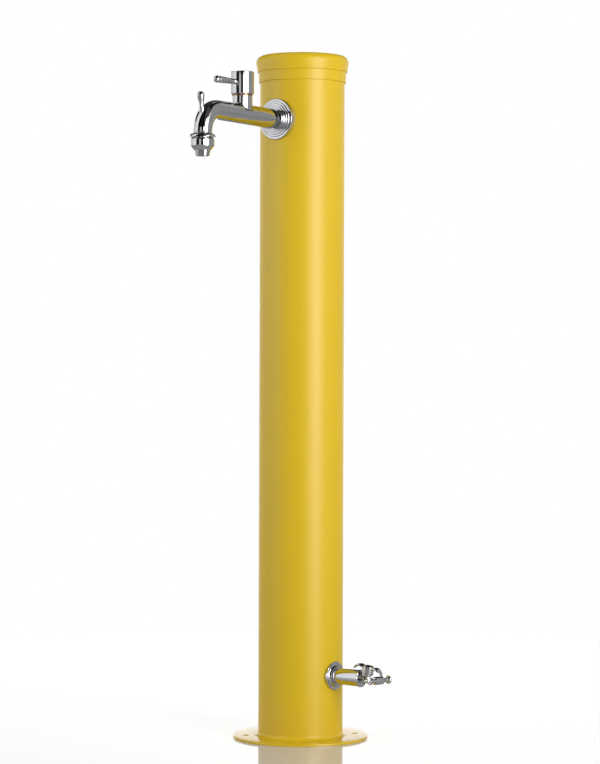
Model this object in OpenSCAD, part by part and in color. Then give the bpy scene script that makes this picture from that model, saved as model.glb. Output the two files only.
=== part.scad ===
// Double-tap garden water post: a painted steel column on a bolted base plate,
// with a bucket tap near the top and a small hose tap near the foot.
// Millimetres. Z is up, and the origin is the centre of the underside of the base plate.
// The bucket tap points along -Y and the hose tap along +X.

/* [Post] */
// Outside diameter of the post tube
post_d = 110; // [104:1:120]
// Wall of the post tube
post_wall = 2.5; // [2:0.25:4]
// Height from the ground to the top of the cap
post_h = 886.5; // [700:0.5:1100]
// How far the bucket tap's axis lies below the top of the cap
upper_drop = 85.5; // [75.5:0.5:180]
// Height of the hose tap's axis
lower_z = 84; // [75:0.5:200]

/* [Base plate] */
// Diameter of the base plate
base_d = 175; // [165:1:220]
// Thickness of the base plate
base_t = 3; // [3:0.5:8]
// Circle that the four anchor bolts lie on
bolt_circle_d = 143; // [138:0.5:152]
// Anchor bolt hole
bolt_hole_d = 8.5; // [6:0.5:12]
// Opening in the plate for the supply pipe
base_opening_d = 60; // [50:1:80]
// Radius of the hollow weld fillet round the foot of the tube
weld_leg = 5.5; // [2:0.5:6]

/* [Cap] */
// Height of the whole cap
cap_h = 34.7; // [30:0.1:45]
// Height of the plain lower band of the cap
cap_band_h = 13.7; // [8:0.1:16]
// How far the lower band stands out from the tube
cap_band_out = 1.7; // [1.2:0.1:4]
// How far the flared upper band stands out from the tube where it starts
cap_lip_out = 3.4; // [3:0.1:6]
// How far the flared upper band stands out from the tube where it is widest
cap_flare_out = 5.3; // [4.5:0.1:9]
// Radius of the cap's rounded shoulder
cap_shoulder_r = 9; // [5:0.5:10]
// Wall of the cap's top
cap_wall = 1.8; // [1:0.2:3]

/* [Bucket tap] */
// Distance from the post's axis to the spout's vertical axis
spout_reach = 205; // [190:1:240]
// Distance from the post's axis to the valve column
column_reach = 126; // [118:1:132]
// Radius of the tap body near the wall
shank_r_wall = 13; // [12.5:0.1:15]
// Radius of the tap body at the spout
spout_r = 11; // [9.5:0.1:12]
// Angle at which the tap body climbs to its bend
shank_rise = 2; // [0:0.5:5]
// Radius of the bend on its centre line
bend_r = 22; // [18:0.5:26]
// Radius of the valve column
column_r = 12.8; // [12:0.1:14]
// Height of the column's rim above the tap's axis
column_h = 24.2; // [23:0.1:32]
// Radius of the handle cap
handle_r = 14.8; // [14.2:0.1:17]
// Height of the handle cap
handle_h = 28.6; // [24:0.1:36]
// Length of the lever outside the handle cap
lever_len = 40.5; // [30:0.5:60]
// Radius of the lever at its thick end
lever_r = 4.3; // [3.6:0.1:5]
// Radius of the wall rosette
rosette_r = 26.2; // [24:0.1:30]
// Height of the bucket hook from its foot in the spout's wall
hook_h = 23.3; // [18:0.1:30]
// Radius of the hook's round end
hook_tip_r = 4.8; // [3.6:0.1:6]
// Radius of the splash skirt's rim
skirt_r = 16.8; // [15.6:0.1:20]
// Radius of the outlet collar
collar_r = 14.9; // [13.5:0.1:15.3]
// Height of the outlet collar
collar_h = 12; // [10:0.2:16]
// Height of the nozzle below its collar
nozzle_h = 7; // [6:0.2:12]
// Radius of the nozzle's mouth
nozzle_r = 8.9; // [8.4:0.1:10]

/* [Hose tap] */
// Radius of the extension sleeve
sleeve_r = 10.65; // [10.4:0.05:12]
// Distance from the post's axis to the tap's front face
lower_reach = 98.6; // [92:0.1:120]
// Radius of the wall rosette
lower_rosette_r = 18.4; // [17:0.1:22]
// Radius of the ring round the front face
end_ring_r = 11.5; // [11.2:0.1:12.2]
// Length of the whole lever
hose_lever_len = 34.5; // [32:0.5:50]
// Angle at which the lever leans forward
hose_lever_lean = 17; // [0:1:30]
// Radius of the lever's grip
grip_r = 5.3; // [4:0.1:5.4]
// Half of the wing nut's span
wing_span = 22; // [19:0.5:24]
// Width of a wing
wing_w = 11; // [9:0.5:14]
// Angle at which the hose outlet leans forward
outlet_lean = 10; // [6:1:14]
// Bore of the hose outlet
outlet_bore_d = 7.2; // [5:0.2:7.6]

/* [Pipework] */
// Outside diameter of the riser pipe
riser_d = 15; // [12:0.5:16]
// Wall of the riser pipe
riser_wall = 1; // [0.7:0.1:1.5]
// Radius of the half-inch tails and sockets
tail_r = 10.25; // [9.8:0.05:10.3]
// Radius of the waterway in the tails
waterway_r = 6; // [4:0.25:6.5]
// Thread bore of the supply inlet
inlet_thread_d = 18.6; // [16:0.2:20]
// Thread length of the supply inlet
inlet_thread_h = 13; // [10:0.5:16]

/* [Hidden] */

// One overrun for every cut
over = 1;
// Running clearance of what turns, and seating clearance of what is screwed or pushed on
run_clear = 0.08;
seat_clear = 0.05;
gap = 0.3;

// Post
upper_z = post_h - upper_drop;
post_r = post_d / 2;
post_in_r = post_r - post_wall;
wall_hole_r = tail_r + 2 * gap;
cap_shelf_drop = 9.5;
tube_top = post_h - cap_shelf_drop;
cap_bottom = post_h - cap_h;
cap_step_z = cap_bottom + cap_band_h;
cap_wide_z = post_h - cap_shoulder_r;
cap_ledge = 3;

// Base plate
base_edge = 0.6;
bolt_count = 4;
bolt_turn = 45;

// Wall fixing of both taps
seal_t = 0.8;
backing_t = 3.5;
backing_r = 16;
nut_t = 7;
nut_across = 27;
nut_face_x = post_in_r - backing_t;
nut_inner_x = nut_face_x - nut_t;
tail_end_x = 20;

// Pipework on the post's axis
riser_r = riser_d / 2;
fitting_wall = 3;
socket_r = tail_r + fitting_wall;
core_r = riser_r + fitting_wall;
branch_end_x = nut_inner_x - 2 * over;
core_wall = 2;
core_half_h = socket_r + core_wall;
comp_nut_h = 9;
comp_nut_across = 26;
pipe_stop = 4;
inlet_z = 12;
inlet_wall = 3.2;
inlet_stub = 12;
inlet_h = inlet_thread_h + inlet_stub;
inlet_r = inlet_thread_d / 2 + inlet_wall;

// Bucket tap
rosette_steps = 4;
rosette_lift = 3;
rosette_rise = 6.6;
rosette_rim_w = 3.6;
rosette_edge = 0.8;
rosette_wall = 1.7;
rosette_boss_w = 2.6;
rosette_groove = 0.35;
neck_x = post_r + rosette_rise;
neck_step = 2;
neck_r = shank_r_wall - neck_step;
neck_len = 2.5;
shoulder_len = 7;
shoulder_r = shank_r_wall + 2 * run_clear;
pivot_x = neck_x + neck_len + shoulder_len;
bend_x = spout_reach - bend_r - bend_r * sin(shank_rise);
bend_z = (bend_x - pivot_x) * tan(shank_rise);
bend_cz = bend_z - bend_r * cos(shank_rise);
shank_len = (bend_x - pivot_x) / cos(shank_rise);
bore_wall = 4;
spout_bore_r = spout_r - bore_wall;
spout_drop = 10.5;
outlet_seat_z = bend_cz - spout_drop;
outlet_shoulder = 1.5;
outlet_thread_r = spout_r - outlet_shoulder;
outlet_thread_h = 11;
outlet_end_z = outlet_seat_z - outlet_thread_h;

// Valve in the column
cart_r = 9;
seat_web = 1.2;
cart_floor = spout_bore_r + (column_reach + cart_r - pivot_x) * tan(shank_rise) + seat_web;
seat_hole_r = 3;
port_r = 2.6;
web_t = 3;
cart_neck_r = 6.2;
hex_across = 17;
hex_h = 3;
gland_ring_h = 1.4;
gland_ring_out = 0.5;
gland_ring_r = column_r + gland_ring_out;
spindle_r = 4;
spindle_foot_r = 6;
spindle_foot_h = 3;
spindle_floor = 2.5;
spindle_foot_z = cart_floor + spindle_floor;
handle_z = column_h + gland_ring_h + gap;
handle_top = handle_z + handle_h;
handle_chamfer = 1.1;
handle_cavity_r = 11;
handle_web = 11;
spindle_bite = 7;
handle_seat_z = handle_top - handle_web;
cart_top = handle_seat_z - web_t;
screw_r = 2;
screw_len = 6;
screw_head_r = 3.2;
screw_head_h = 1.6;
button_r = 3.7;
button_dome = 1.8;
button_plug_h = 1.2;
lever_drop_z = 13.6;
lever_z = handle_top - lever_drop_z;
lever_root_share = 0.76;
lever_ball_share = 1.05;
lever_neck_share = 0.84;
lever_stud_r = 2.4;
lever_stud_len = 2.6;
lever_ball_r = lever_r * lever_ball_share;
lever_neck_len = 2.2;
lever_ball_from = 127;

// Hook
hook_lean = 6.5;
hook_out = 1.6;
hook_x = spout_reach + hook_out;
hook_sink = 5;
hook_root_share = 0.62;
hook_root_r = hook_tip_r * hook_root_share;
hook_root_z = bend_cz + sqrt(pow(bend_r + spout_r, 2) - pow(bend_r + hook_out, 2)) - hook_sink;
// Places along the horn and its swell at each, as shares of its height and of its growth
hook_place_shares = [0.32, 0.5, 0.68];
hook_swell_shares = [0, 0.35, 0.88];

// Outlet
skirt_t = 1;
skirt_drop = 4.6;
skirt_hub_r = spout_r + gap;
washer_t = 1.6;
collar_top_z = outlet_seat_z - skirt_t;
collar_shoulder_z = outlet_seat_z - skirt_drop - skirt_t;
collar_cone_z = collar_shoulder_z - collar_h;
collar_cone_h = 3.4;
collar_bottom_z = collar_cone_z - collar_cone_h;
collar_round = 2.6;
nozzle_lip = 1.3;
nozzle_top_z = outlet_end_z - washer_t;
nozzle_shoulder_r = nozzle_r + nozzle_lip;
nozzle_bottom_z = collar_bottom_z - nozzle_h;
nozzle_wall = 1.2;
nozzle_bore_r = nozzle_r - nozzle_wall;
nozzle_entry_r = spout_bore_r - 1;
aerator_t = 3;
aerator_recess = 1.1;
aerator_rings = 2;
aerator_hole_r = 0.8;

// Hose tap
lower_rosette_lift = 1.8;
lower_rosette_rise = 4.2;
lower_rim_w = 2;
lower_ring_w = 1.6;
lower_dish = 1;
sleeve_x = post_r + lower_rosette_rise;
end_ring_t = 3.6;
ring_x = lower_reach - end_ring_t;
spigot_r = 8;
spigot_len = 9;
face_cup = 1.2;
face_rim = 1.5;
oring_t = 1;
lever_drop = 2.8;
cartridge_r = 4.2;
face_web = 2;
hose_spindle_r = 2.4;
hose_spindle_foot = 3.4;
spindle_tip_r = 1.8;
boss_wall = 1.1;
boss_r = spindle_tip_r + boss_wall;
boss_back = 1.5;
hub_r = 4.95;
hub_half = 1.5;
hub_face_r = 4.2;
hub_gap = 7.8;
hub_x = lower_reach + hub_gap + hub_r;
grip_start = 6.5;
bead_half = 3.4;
bead_gap = 5.7;
bead_out = 0.2;
bead_r = grip_r + bead_out;
grip_len = hose_lever_len - hub_half - grip_start - bead_gap - 2 * bead_half;
hose_neck_r = 2.8;
grip_round = 1;
channel_r = 1.7;
channel_z = 5.2;

// Hose outlet that rises from the front of the hose tap
nose_r = 3.2;
nose_z = 4.7;
branch_gap = 8.2;
branch_x = lower_reach + branch_gap;
branch_z = 4;
branch_wall = 2.4;
branch_r = outlet_bore_d / 2 + branch_wall;
branch_floor = 1.2;
collar_t = 1;
nut_seat_z = 3;
nut_wall = 1.5;
nut_r = branch_r + nut_wall;
nut_bottom = nut_seat_z + 2 * run_clear;
nut_h = 8.8;
nut_top = nut_bottom + nut_h;
wing_rise = 0.4;
wing_droop = 6.4;
wing_thick_root = 4.4;
wing_thick_tip = 1.3;
wing_crest = 8;
wing_points = 8;
wing_waist_share = 0.7;
clip_t = 0.8;
clip_w = 1.1;
clip_z = nut_top + 2 * run_clear;
branch_h = clip_z + clip_t + gap;
brass = [0.8, 0.62, 0.3];
chrome = [0.8, 0.81, 0.83];
yellow = [0.93, 0.74, 0.06];
rubber = [0.08, 0.08, 0.09];

// Points of an arc in a profile
function arc(centre, r, from, to, steps) =
    [for (i = [0:steps]) let (a = from + (to - from) * i / steps) centre + r * [cos(a), sin(a)]];

// A turned piece on the X axis: each point is a radius and a place along X
module turned(points) {
    rotate([0, 90, 0])
        rotate_extrude($fn = 96)
            polygon(points);
}

// A round bar or bore on the X axis
module bar(from, to, r) {
    translate([from, 0, 0])
        rotate([0, 90, 0])
            cylinder(h = to - from, r = r, $fn = 64);
}

// A round bar or bore on the Z axis
module post(from, to, r) {
    translate([0, 0, from])
        cylinder(h = to - from, r = r, $fn = 96);
}

// Frames of the two taps: X points out of the post, Z stays up
module at_upper() {
    translate([0, 0, upper_z])
        rotate([0, 0, -90])
            children();
}

module at_lower() {
    translate([0, 0, lower_z])
        children();
}

// Plate with its hollow weld fillet, bolt holes and supply opening
module base_flange() {
    color(yellow)
        difference() {
            rotate_extrude($fn = 128)
                polygon(concat(
                    [
                        [base_opening_d / 2, 0],
                        [base_d / 2, 0],
                        [base_d / 2, base_t - base_edge],
                        [base_d / 2 - base_edge, base_t]
                    ],
                    arc([post_r + weld_leg, base_t + weld_leg], weld_leg, 270, 180, 6),
                    [
                        [post_r, base_t],
                        [base_opening_d / 2, base_t]
                    ]
                ));
            for (i = [0:bolt_count - 1])
                rotate([0, 0, bolt_turn + i * 360 / bolt_count])
                    translate([bolt_circle_d / 2, 0, -over])
                        cylinder(h = base_t + 2 * over, r = bolt_hole_d / 2, $fn = 48);
        }
}

// Tube with a hole for each tap
module post_tube() {
    color(yellow)
        difference() {
            post(base_t, tube_top, post_r);
            post(base_t - over, tube_top + over, post_in_r);
            at_upper()
                bar(0, post_r + over, wall_hole_r);
            at_lower()
                bar(0, post_r + over, wall_hole_r);
        }
}

// Cap pushed over the tube: a plain band, a flared band and a rounded shoulder
module top_cap() {
    color(yellow)
        rotate_extrude($fn = 128)
            polygon(concat(
                [
                    [post_r + seat_clear, cap_bottom],
                    [post_r + cap_band_out, cap_bottom],
                    [post_r + cap_band_out, cap_step_z],
                    [post_r + cap_lip_out, cap_step_z]
                ],
                arc([post_r + cap_flare_out - cap_shoulder_r, cap_wide_z], cap_shoulder_r, 0, 90, 8),
                [
                    [0, post_h],
                    [0, post_h - cap_wall],
                    [post_in_r - cap_ledge, post_h - cap_wall],
                    [post_in_r - cap_ledge, tube_top],
                    [post_r + seat_clear, tube_top]
                ]
            ));
}

// Socket that the ground supply screws into, inside the foot
module supply_inlet() {
    color(brass)
        difference() {
            union() {
                post(inlet_z, inlet_z + inlet_h, inlet_r);
                translate([0, 0, inlet_z])
                    cylinder(h = inlet_h / 2, r = inlet_r + fitting_wall / 2, $fn = 6);
            }
            post(inlet_z - over, inlet_z + inlet_thread_h, inlet_thread_d / 2);
            post(inlet_z, inlet_z + inlet_h + over, waterway_r);
            post(inlet_z + inlet_h - comp_nut_h / 2, inlet_z + inlet_h + over, riser_r + seat_clear);
        }
}

// Short pipe from the supply socket to the tee
module inlet_pipe() {
    color(chrome)
        difference() {
            post(inlet_z + inlet_h - comp_nut_h / 2, lower_z - pipe_stop, riser_r);
            post(inlet_z, lower_z, riser_r - riser_wall);
        }
}

// Tee on the post's axis, its branch screwed on the hose tap's tail
module lower_tee() {
    color(brass)
        at_lower()
            difference() {
                union() {
                    post(-core_half_h, core_half_h, core_r);
                    bar(0, branch_end_x, socket_r);
                }
                post(-core_half_h - over, -pipe_stop, riser_r + seat_clear);
                post(pipe_stop, core_half_h + over, riser_r + seat_clear);
                post(-core_half_h, core_half_h, waterway_r);
                bar(0, branch_end_x + over, waterway_r);
                bar(tail_end_x, branch_end_x + over, tail_r + seat_clear);
            }
}

// Long pipe from the tee to the elbow
module riser_pipe() {
    color(chrome)
        difference() {
            post(lower_z + pipe_stop, upper_z - pipe_stop, riser_r);
            post(lower_z, upper_z, riser_r - riser_wall);
        }
}

// Elbow on the post's axis, screwed on the bucket tap's tail
module upper_elbow() {
    color(brass)
        at_upper()
            difference() {
                union() {
                    post(-core_half_h, 0, core_r);
                    sphere(r = socket_r, $fn = 64);
                    bar(0, branch_end_x, socket_r);
                }
                post(-core_half_h - over, -pipe_stop, riser_r + seat_clear);
                post(-core_half_h, 0, waterway_r);
                sphere(r = waterway_r, $fn = 48);
                bar(0, branch_end_x + over, waterway_r);
                bar(tail_end_x, branch_end_x + over, tail_r + seat_clear);
            }
}

// One six-sided nut round a pipe, from a height upwards
module pipe_nut(z) {
    difference() {
        translate([0, 0, z])
            cylinder(h = comp_nut_h, r = comp_nut_across / 2 / cos(30), $fn = 6);
        post(z - over, z + comp_nut_h + over, riser_r + seat_clear);
    }
}

// Nuts that clamp the pipes in the tee and the elbow
module compression_nuts() {
    color(brass) {
        pipe_nut(lower_z - core_half_h - comp_nut_h);
        pipe_nut(lower_z + core_half_h);
        pipe_nut(upper_z - core_half_h - comp_nut_h);
    }
}

// Plate that fills the tube's inside curve and gives the backnut a flat seat
module backing_plate() {
    difference() {
        intersection() {
            bar(nut_face_x, post_r, backing_r);
            post(-backing_r - over, backing_r + over, post_in_r);
        }
        bar(0, post_r, tail_r + seat_clear);
    }
}

module backnut() {
    difference() {
        translate([nut_inner_x, 0, 0])
            rotate([0, 90, 0])
                cylinder(h = nut_t, r = nut_across / 2 / cos(30), $fn = 6);
        bar(0, post_r, tail_r + seat_clear);
    }
}

module upper_backing_plate() {
    color(chrome)
        at_upper()
            backing_plate();
}

module upper_backnut() {
    color(brass)
        at_upper()
            backnut();
}

module lower_backing_plate() {
    color(chrome)
        at_lower()
            backing_plate();
}

module lower_backnut() {
    color(brass)
        at_lower()
            backnut();
}

// Saddle gasket between a rosette and the round post
module saddle_seal(r) {
    difference() {
        intersection() {
            bar(0, post_r + seal_t, r);
            post(-r - over, r + over, post_r + seal_t);
        }
        post(-r - over, r + over, post_r);
        bar(0, post_r + 2 * over, tail_r + seat_clear);
    }
}

module upper_rosette_seal() {
    color(rubber)
        at_upper()
            saddle_seal(rosette_r - rosette_wall / 2);
}

// Rosette turned in concentric steps, hollow behind, its back cut to the post's curve
module upper_rosette() {
    step_w = (rosette_r - rosette_rim_w - neck_r) / rosette_steps;
    step_h = (rosette_rise - rosette_lift) / rosette_steps;
    front_x = post_r + rosette_lift;
    color(chrome)
        at_upper()
            difference() {
                turned(concat(
                    [
                        [tail_r + seat_clear, 0],
                        [rosette_r, 0],
                        [rosette_r, front_x - rosette_edge],
                        [rosette_r - rosette_edge / 3, front_x - rosette_edge / 3],
                        [rosette_r - rosette_edge, front_x]
                    ],
                    [for (i = [0:rosette_steps - 1], k = [0:2])
                        let (r = rosette_r - rosette_rim_w - i * step_w)
                        k == 0 ? [r + rosette_groove, front_x + i * step_h]
                        : k == 1 ? [r, front_x + i * step_h - rosette_groove]
                        : [r - rosette_groove, front_x + (i + 1) * step_h]],
                    [[tail_r + seat_clear, neck_x]]
                ));
                post(-rosette_r - over, rosette_r + over, post_r + seal_t);
                turned([
                    [neck_r + rosette_boss_w, 0],
                    [rosette_r - rosette_wall, 0],
                    [rosette_r - rosette_wall, front_x - rosette_wall],
                    [neck_r + rosette_boss_w, front_x - rosette_wall + step_h]
                ]);
            }
}

// The quarter bend between the shank and the spout
module bend(r) {
    translate([spout_reach - bend_r, 0, bend_cz])
        rotate([90, 0, 0])
            rotate_extrude(angle = 90 + shank_rise, $fn = 72)
                translate([bend_r, 0])
                    circle(r = r, $fn = 48);
}

// Shank, bend and spout as one run; the straight runs enter the bend a hair thinner
module spout_path(r_shank, r_spout, start, low) {
    r_run = r_spout - seat_clear;
    translate([pivot_x, 0, 0])
        rotate([0, 90 - shank_rise, 0])
            translate([0, 0, start])
                cylinder(h = shank_len + over - start, r1 = r_shank, r2 = r_run, $fn = 64);
    bend(r_spout);
    translate([spout_reach, 0, 0])
        post(low, bend_cz + over, r_run);
}

// The bucket tap's casting: tail, neck, climbing shank, bend, spout and valve column
module upper_tap_body() {
    color(chrome)
        at_upper()
            difference() {
                union() {
                    turned(concat(
                        [
                            [0, tail_end_x],
                            [tail_r, tail_end_x],
                            [tail_r, neck_x],
                            [neck_r, neck_x],
                            [neck_r, neck_x + neck_len]
                        ],
                        [for (i = [1:6]) let (a = 90 * i / 6)
                            [neck_r + (shoulder_r - neck_r) * sin(a),
                             neck_x + neck_len + shoulder_len * (1 - cos(a))]],
                        [[0, pivot_x]]
                    ));
                    spout_path(shank_r_wall, spout_r, -2 * gap, outlet_seat_z);
                    translate([spout_reach, 0, 0])
                        post(outlet_end_z, outlet_seat_z + over, outlet_thread_r);
                    translate([column_reach, 0, 0])
                        post(0, column_h, column_r);
                }
                bar(tail_end_x - over, column_reach - web_t / 2, waterway_r);
                spout_path(
                    spout_bore_r, spout_bore_r,
                    column_reach + web_t / 2 - pivot_x, outlet_end_z - over);
                translate([column_reach, 0, 0]) {
                    post(cart_floor, column_h + over, cart_r + seat_clear);
                    translate([-port_r - web_t, 0, 0])
                        post(0, cart_floor + over, seat_hole_r);
                    translate([port_r + web_t, 0, 0])
                        post(0, cart_floor + over, port_r);
                }
            }
}

// Frame of the hook: its foot on the bend's outside, leaning out a little
module hook_frame() {
    translate([hook_x, 0, hook_root_z])
        rotate([0, hook_lean, 0])
            children();
}

// Horn that keeps a bucket's bail on the spout
module bucket_hook() {
    color(chrome)
        at_upper()
            difference() {
                hook_frame()
                    rotate_extrude($fn = 48)
                        polygon(concat(
                            [[0, 0], [hook_root_r, 0]],
                            [for (i = [0:len(hook_place_shares) - 1])
                                [hook_root_r + (hook_tip_r - hook_root_r) * hook_swell_shares[i],
                                 hook_h * hook_place_shares[i]]],
                            arc([0, hook_h - hook_tip_r], hook_tip_r, 0, 90, 6)
                        ));
                bend(spout_r);
            }
}

// Ceramic disc cartridge, its hexagon clamping the gland ring on the column's rim
module upper_cartridge() {
    neck_z = column_h + gland_ring_h;
    color(brass)
        at_upper()
            translate([column_reach, 0, 0])
                difference() {
                    union() {
                        post(cart_floor, neck_z, cart_r);
                        translate([0, 0, neck_z])
                            cylinder(h = hex_h, r = hex_across / 2 / cos(30), $fn = 6);
                        post(neck_z, cart_top, cart_neck_r);
                    }
                    post(spindle_foot_z, cart_top + over, spindle_r + run_clear);
                    post(
                        spindle_foot_z, spindle_foot_z + spindle_foot_h + 2 * run_clear,
                        spindle_foot_r + run_clear);
                    translate([-port_r - web_t, 0, 0])
                        post(cart_floor - over, spindle_foot_z + over, port_r);
                    translate([port_r + web_t, 0, 0])
                        post(cart_floor - over, spindle_foot_z + over, port_r);
                }
}

// Thin brass ring between the column and the handle cap
module gland_ring() {
    color(brass)
        at_upper()
            translate([column_reach, 0, 0])
                difference() {
                    post(column_h, column_h + gland_ring_h, gland_ring_r);
                    post(column_h - over, column_h + gland_ring_h + over, cart_r + seat_clear);
                }
}

// Spindle that the handle cap turns
module upper_spindle() {
    top = handle_seat_z + spindle_bite;
    color(brass)
        at_upper()
            translate([column_reach, 0, 0])
                difference() {
                    union() {
                        post(spindle_foot_z + run_clear, spindle_foot_z + spindle_foot_h, spindle_foot_r);
                        post(spindle_foot_z + run_clear, top, spindle_r);
                    }
                    post(top - screw_len, top + over, screw_r);
                }
}

// Drum-shaped handle cap, hollow below and bored for the spindle
module upper_handle_cap() {
    pocket = screw_head_h + button_plug_h;
    color(chrome)
        at_upper()
            translate([column_reach, 0, 0])
                difference() {
                    rotate_extrude($fn = 96)
                        polygon([
                            [spindle_r + seat_clear, handle_seat_z],
                            [handle_cavity_r, handle_seat_z],
                            [handle_cavity_r, handle_z],
                            [handle_r, handle_z],
                            [handle_r, handle_top - handle_chamfer],
                            [handle_r - handle_chamfer / 3, handle_top - handle_chamfer / 3],
                            [handle_r - handle_chamfer, handle_top],
                            [button_r + seat_clear, handle_top],
                            [button_r + seat_clear, handle_top - pocket],
                            [screw_r + seat_clear, handle_top - pocket],
                            [screw_r + seat_clear, handle_seat_z + spindle_bite],
                            [spindle_r + seat_clear, handle_seat_z + spindle_bite]
                        ]);
                    translate([0, 0, lever_z])
                        bar(handle_r - lever_stud_len, handle_r + over, lever_stud_r);
                }
}

// Turned lever with a ball end, its stud in the side of the handle cap
module upper_lever() {
    ball_x = handle_r + lever_len - lever_ball_r;
    neck_end = ball_x + lever_ball_r * cos(lever_ball_from);
    color(chrome)
        at_upper()
            translate([column_reach, 0, lever_z]) {
                difference() {
                    turned(concat(
                        [
                            [0, handle_r - over],
                            [lever_r * lever_root_share, handle_r - over],
                            [lever_r, neck_end - 2 * lever_neck_len],
                            [lever_r, neck_end - lever_neck_len],
                            [lever_r * lever_neck_share, neck_end - lever_neck_len / 2]
                        ],
                        [for (i = [0:8]) let (a = lever_ball_from * (1 - i / 8))
                            [lever_ball_r * sin(a), ball_x + lever_ball_r * cos(a)]]
                    ));
                    post(-lever_r - over, lever_r + over, handle_r);
                }
                bar(handle_r - lever_stud_len, handle_r + over, lever_stud_r);
            }
}

// Screw that holds the handle cap down on the spindle
module handle_screw() {
    head_z = handle_top - screw_head_h - button_plug_h;
    color(chrome)
        at_upper()
            translate([column_reach, 0, 0]) {
                post(head_z, head_z + screw_head_h, screw_head_r);
                post(head_z - screw_len, head_z, screw_r);
            }
}

// Domed button that hides the screw
module handle_button() {
    dome_r = (pow(button_r, 2) + pow(button_dome, 2)) / 2 / button_dome;
    half = asin(button_r / dome_r);
    color(chrome)
        at_upper()
            translate([column_reach, 0, 0])
                rotate_extrude($fn = 64)
                    polygon(concat(
                        [
                            [0, handle_top - button_plug_h],
                            [button_r, handle_top - button_plug_h]
                        ],
                        arc([0, handle_top + button_dome - dome_r], dome_r, 90 - half, 90, 6)
                    ));
}

// Frame of the outlet's axis
module at_outlet() {
    at_upper()
        translate([spout_reach, 0, 0])
            children();
}

// Thin umbrella that throws splashes down, clamped between spout and collar
module splash_skirt() {
    span = skirt_r - skirt_hub_r;
    color(chrome)
        at_outlet()
            rotate_extrude($fn = 96)
                polygon(concat(
                    [
                        [outlet_thread_r + seat_clear, collar_top_z],
                        [outlet_thread_r + seat_clear, outlet_seat_z],
                        [skirt_hub_r, outlet_seat_z]
                    ],
                    [for (i = [1:6]) let (a = 90 * i / 6)
                        [skirt_hub_r + span * sin(a), outlet_seat_z - skirt_drop * (1 - cos(a))]],
                    [for (i = [6:-1:1]) let (a = 90 * i / 6)
                        [skirt_hub_r + (span - skirt_t) * sin(a),
                         collar_top_z - (skirt_drop - skirt_t) * (1 - cos(a))]],
                    [[skirt_hub_r, collar_top_z]]
                ));
}

// Collar nut with rounded edges, its lower cone leading to the nozzle
module outlet_collar() {
    top_centre = [collar_r - collar_round, collar_shoulder_z - collar_round];
    low_centre = [collar_r - collar_round, collar_cone_z + collar_round];
    color(chrome)
        at_outlet()
            rotate_extrude($fn = 96)
                polygon(concat(
                    [
                        [outlet_thread_r + seat_clear, collar_bottom_z],
                        [outlet_thread_r + seat_clear, collar_top_z],
                        [skirt_hub_r, collar_top_z],
                        [skirt_hub_r, collar_shoulder_z]
                    ],
                    arc(top_centre, collar_round, 90, 0, 5),
                    arc(low_centre, collar_round, 0, -50, 4),
                    [[nozzle_shoulder_r + gap, collar_bottom_z]]
                ));
}

// Rubber ring under the end of the spout
module outlet_washer() {
    color(rubber)
        at_outlet()
            difference() {
                post(nozzle_top_z, outlet_end_z, outlet_thread_r);
                post(nozzle_top_z - over, outlet_end_z + over, nozzle_entry_r);
            }
}

// Nozzle screwed up into the collar, with a wider seat for the aerator
module outlet_nozzle() {
    color(chrome)
        at_outlet()
            rotate_extrude($fn = 96)
                polygon([
                    [nozzle_entry_r, nozzle_top_z],
                    [outlet_thread_r, nozzle_top_z],
                    [outlet_thread_r, collar_bottom_z],
                    [nozzle_shoulder_r, collar_bottom_z],
                    [nozzle_r + nozzle_lip / 3, nozzle_bottom_z + nozzle_h / 2],
                    [nozzle_r, nozzle_bottom_z],
                    [nozzle_bore_r, nozzle_bottom_z],
                    [nozzle_bore_r, nozzle_bottom_z + aerator_recess + aerator_t],
                    [nozzle_entry_r, nozzle_bottom_z + aerator_recess + aerator_t]
                ]);
}

// Aerator disc with rings of small holes
module aerator_insert() {
    low = nozzle_bottom_z + aerator_recess;
    pitch = nozzle_bore_r / (aerator_rings + 1);
    color(rubber)
        at_outlet()
            difference() {
                post(low, low + aerator_t, nozzle_bore_r);
                for (i = [0:aerator_rings], k = [0:max(1, 6 * i) - 1])
                    rotate([0, 0, 60 * k / max(1, i)])
                        translate([i * pitch, 0, low - over])
                            cylinder(h = aerator_t + 2 * over, r = aerator_hole_r, $fn = 16);
            }
}

module lower_rosette_seal() {
    color(rubber)
        at_lower()
            saddle_seal(lower_rosette_r - lower_ring_w);
}

// Small rosette with a rim, a dished groove and an inner ring
module lower_rosette() {
    rim_x = post_r + lower_rosette_lift;
    ring_r = sleeve_r + lower_ring_w;
    dish_from = lower_rosette_r - lower_rim_w;
    color(chrome)
        at_lower()
            difference() {
                turned(concat(
                    [
                        [tail_r + seat_clear, 0],
                        [lower_rosette_r, 0],
                        [lower_rosette_r, rim_x - lower_dish / 2],
                        [lower_rosette_r - lower_dish / 2, rim_x],
                        [dish_from, rim_x]
                    ],
                    [for (i = [1:5]) let (t = i / 6)
                        [dish_from + (ring_r - dish_from) * t,
                         rim_x - lower_dish * sin(180 * t)
                             + (lower_rosette_rise - lower_rosette_lift) * t * t]],
                    [[ring_r, sleeve_x], [tail_r + seat_clear, sleeve_x]]
                ));
                post(-lower_rosette_r - over, lower_rosette_r + over, post_r + seal_t);
            }
}

// Sleeve that carries the hose tap out from the post
module lower_sleeve() {
    socket_x = ring_x - spigot_len - oring_t;
    color(chrome)
        at_lower()
            turned([
                [waterway_r, tail_end_x],
                [tail_r, tail_end_x],
                [tail_r, sleeve_x],
                [sleeve_r, sleeve_x],
                [sleeve_r, ring_x],
                [spigot_r + seat_clear, ring_x],
                [spigot_r + seat_clear, socket_x],
                [waterway_r, socket_x]
            ]);
}

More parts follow.
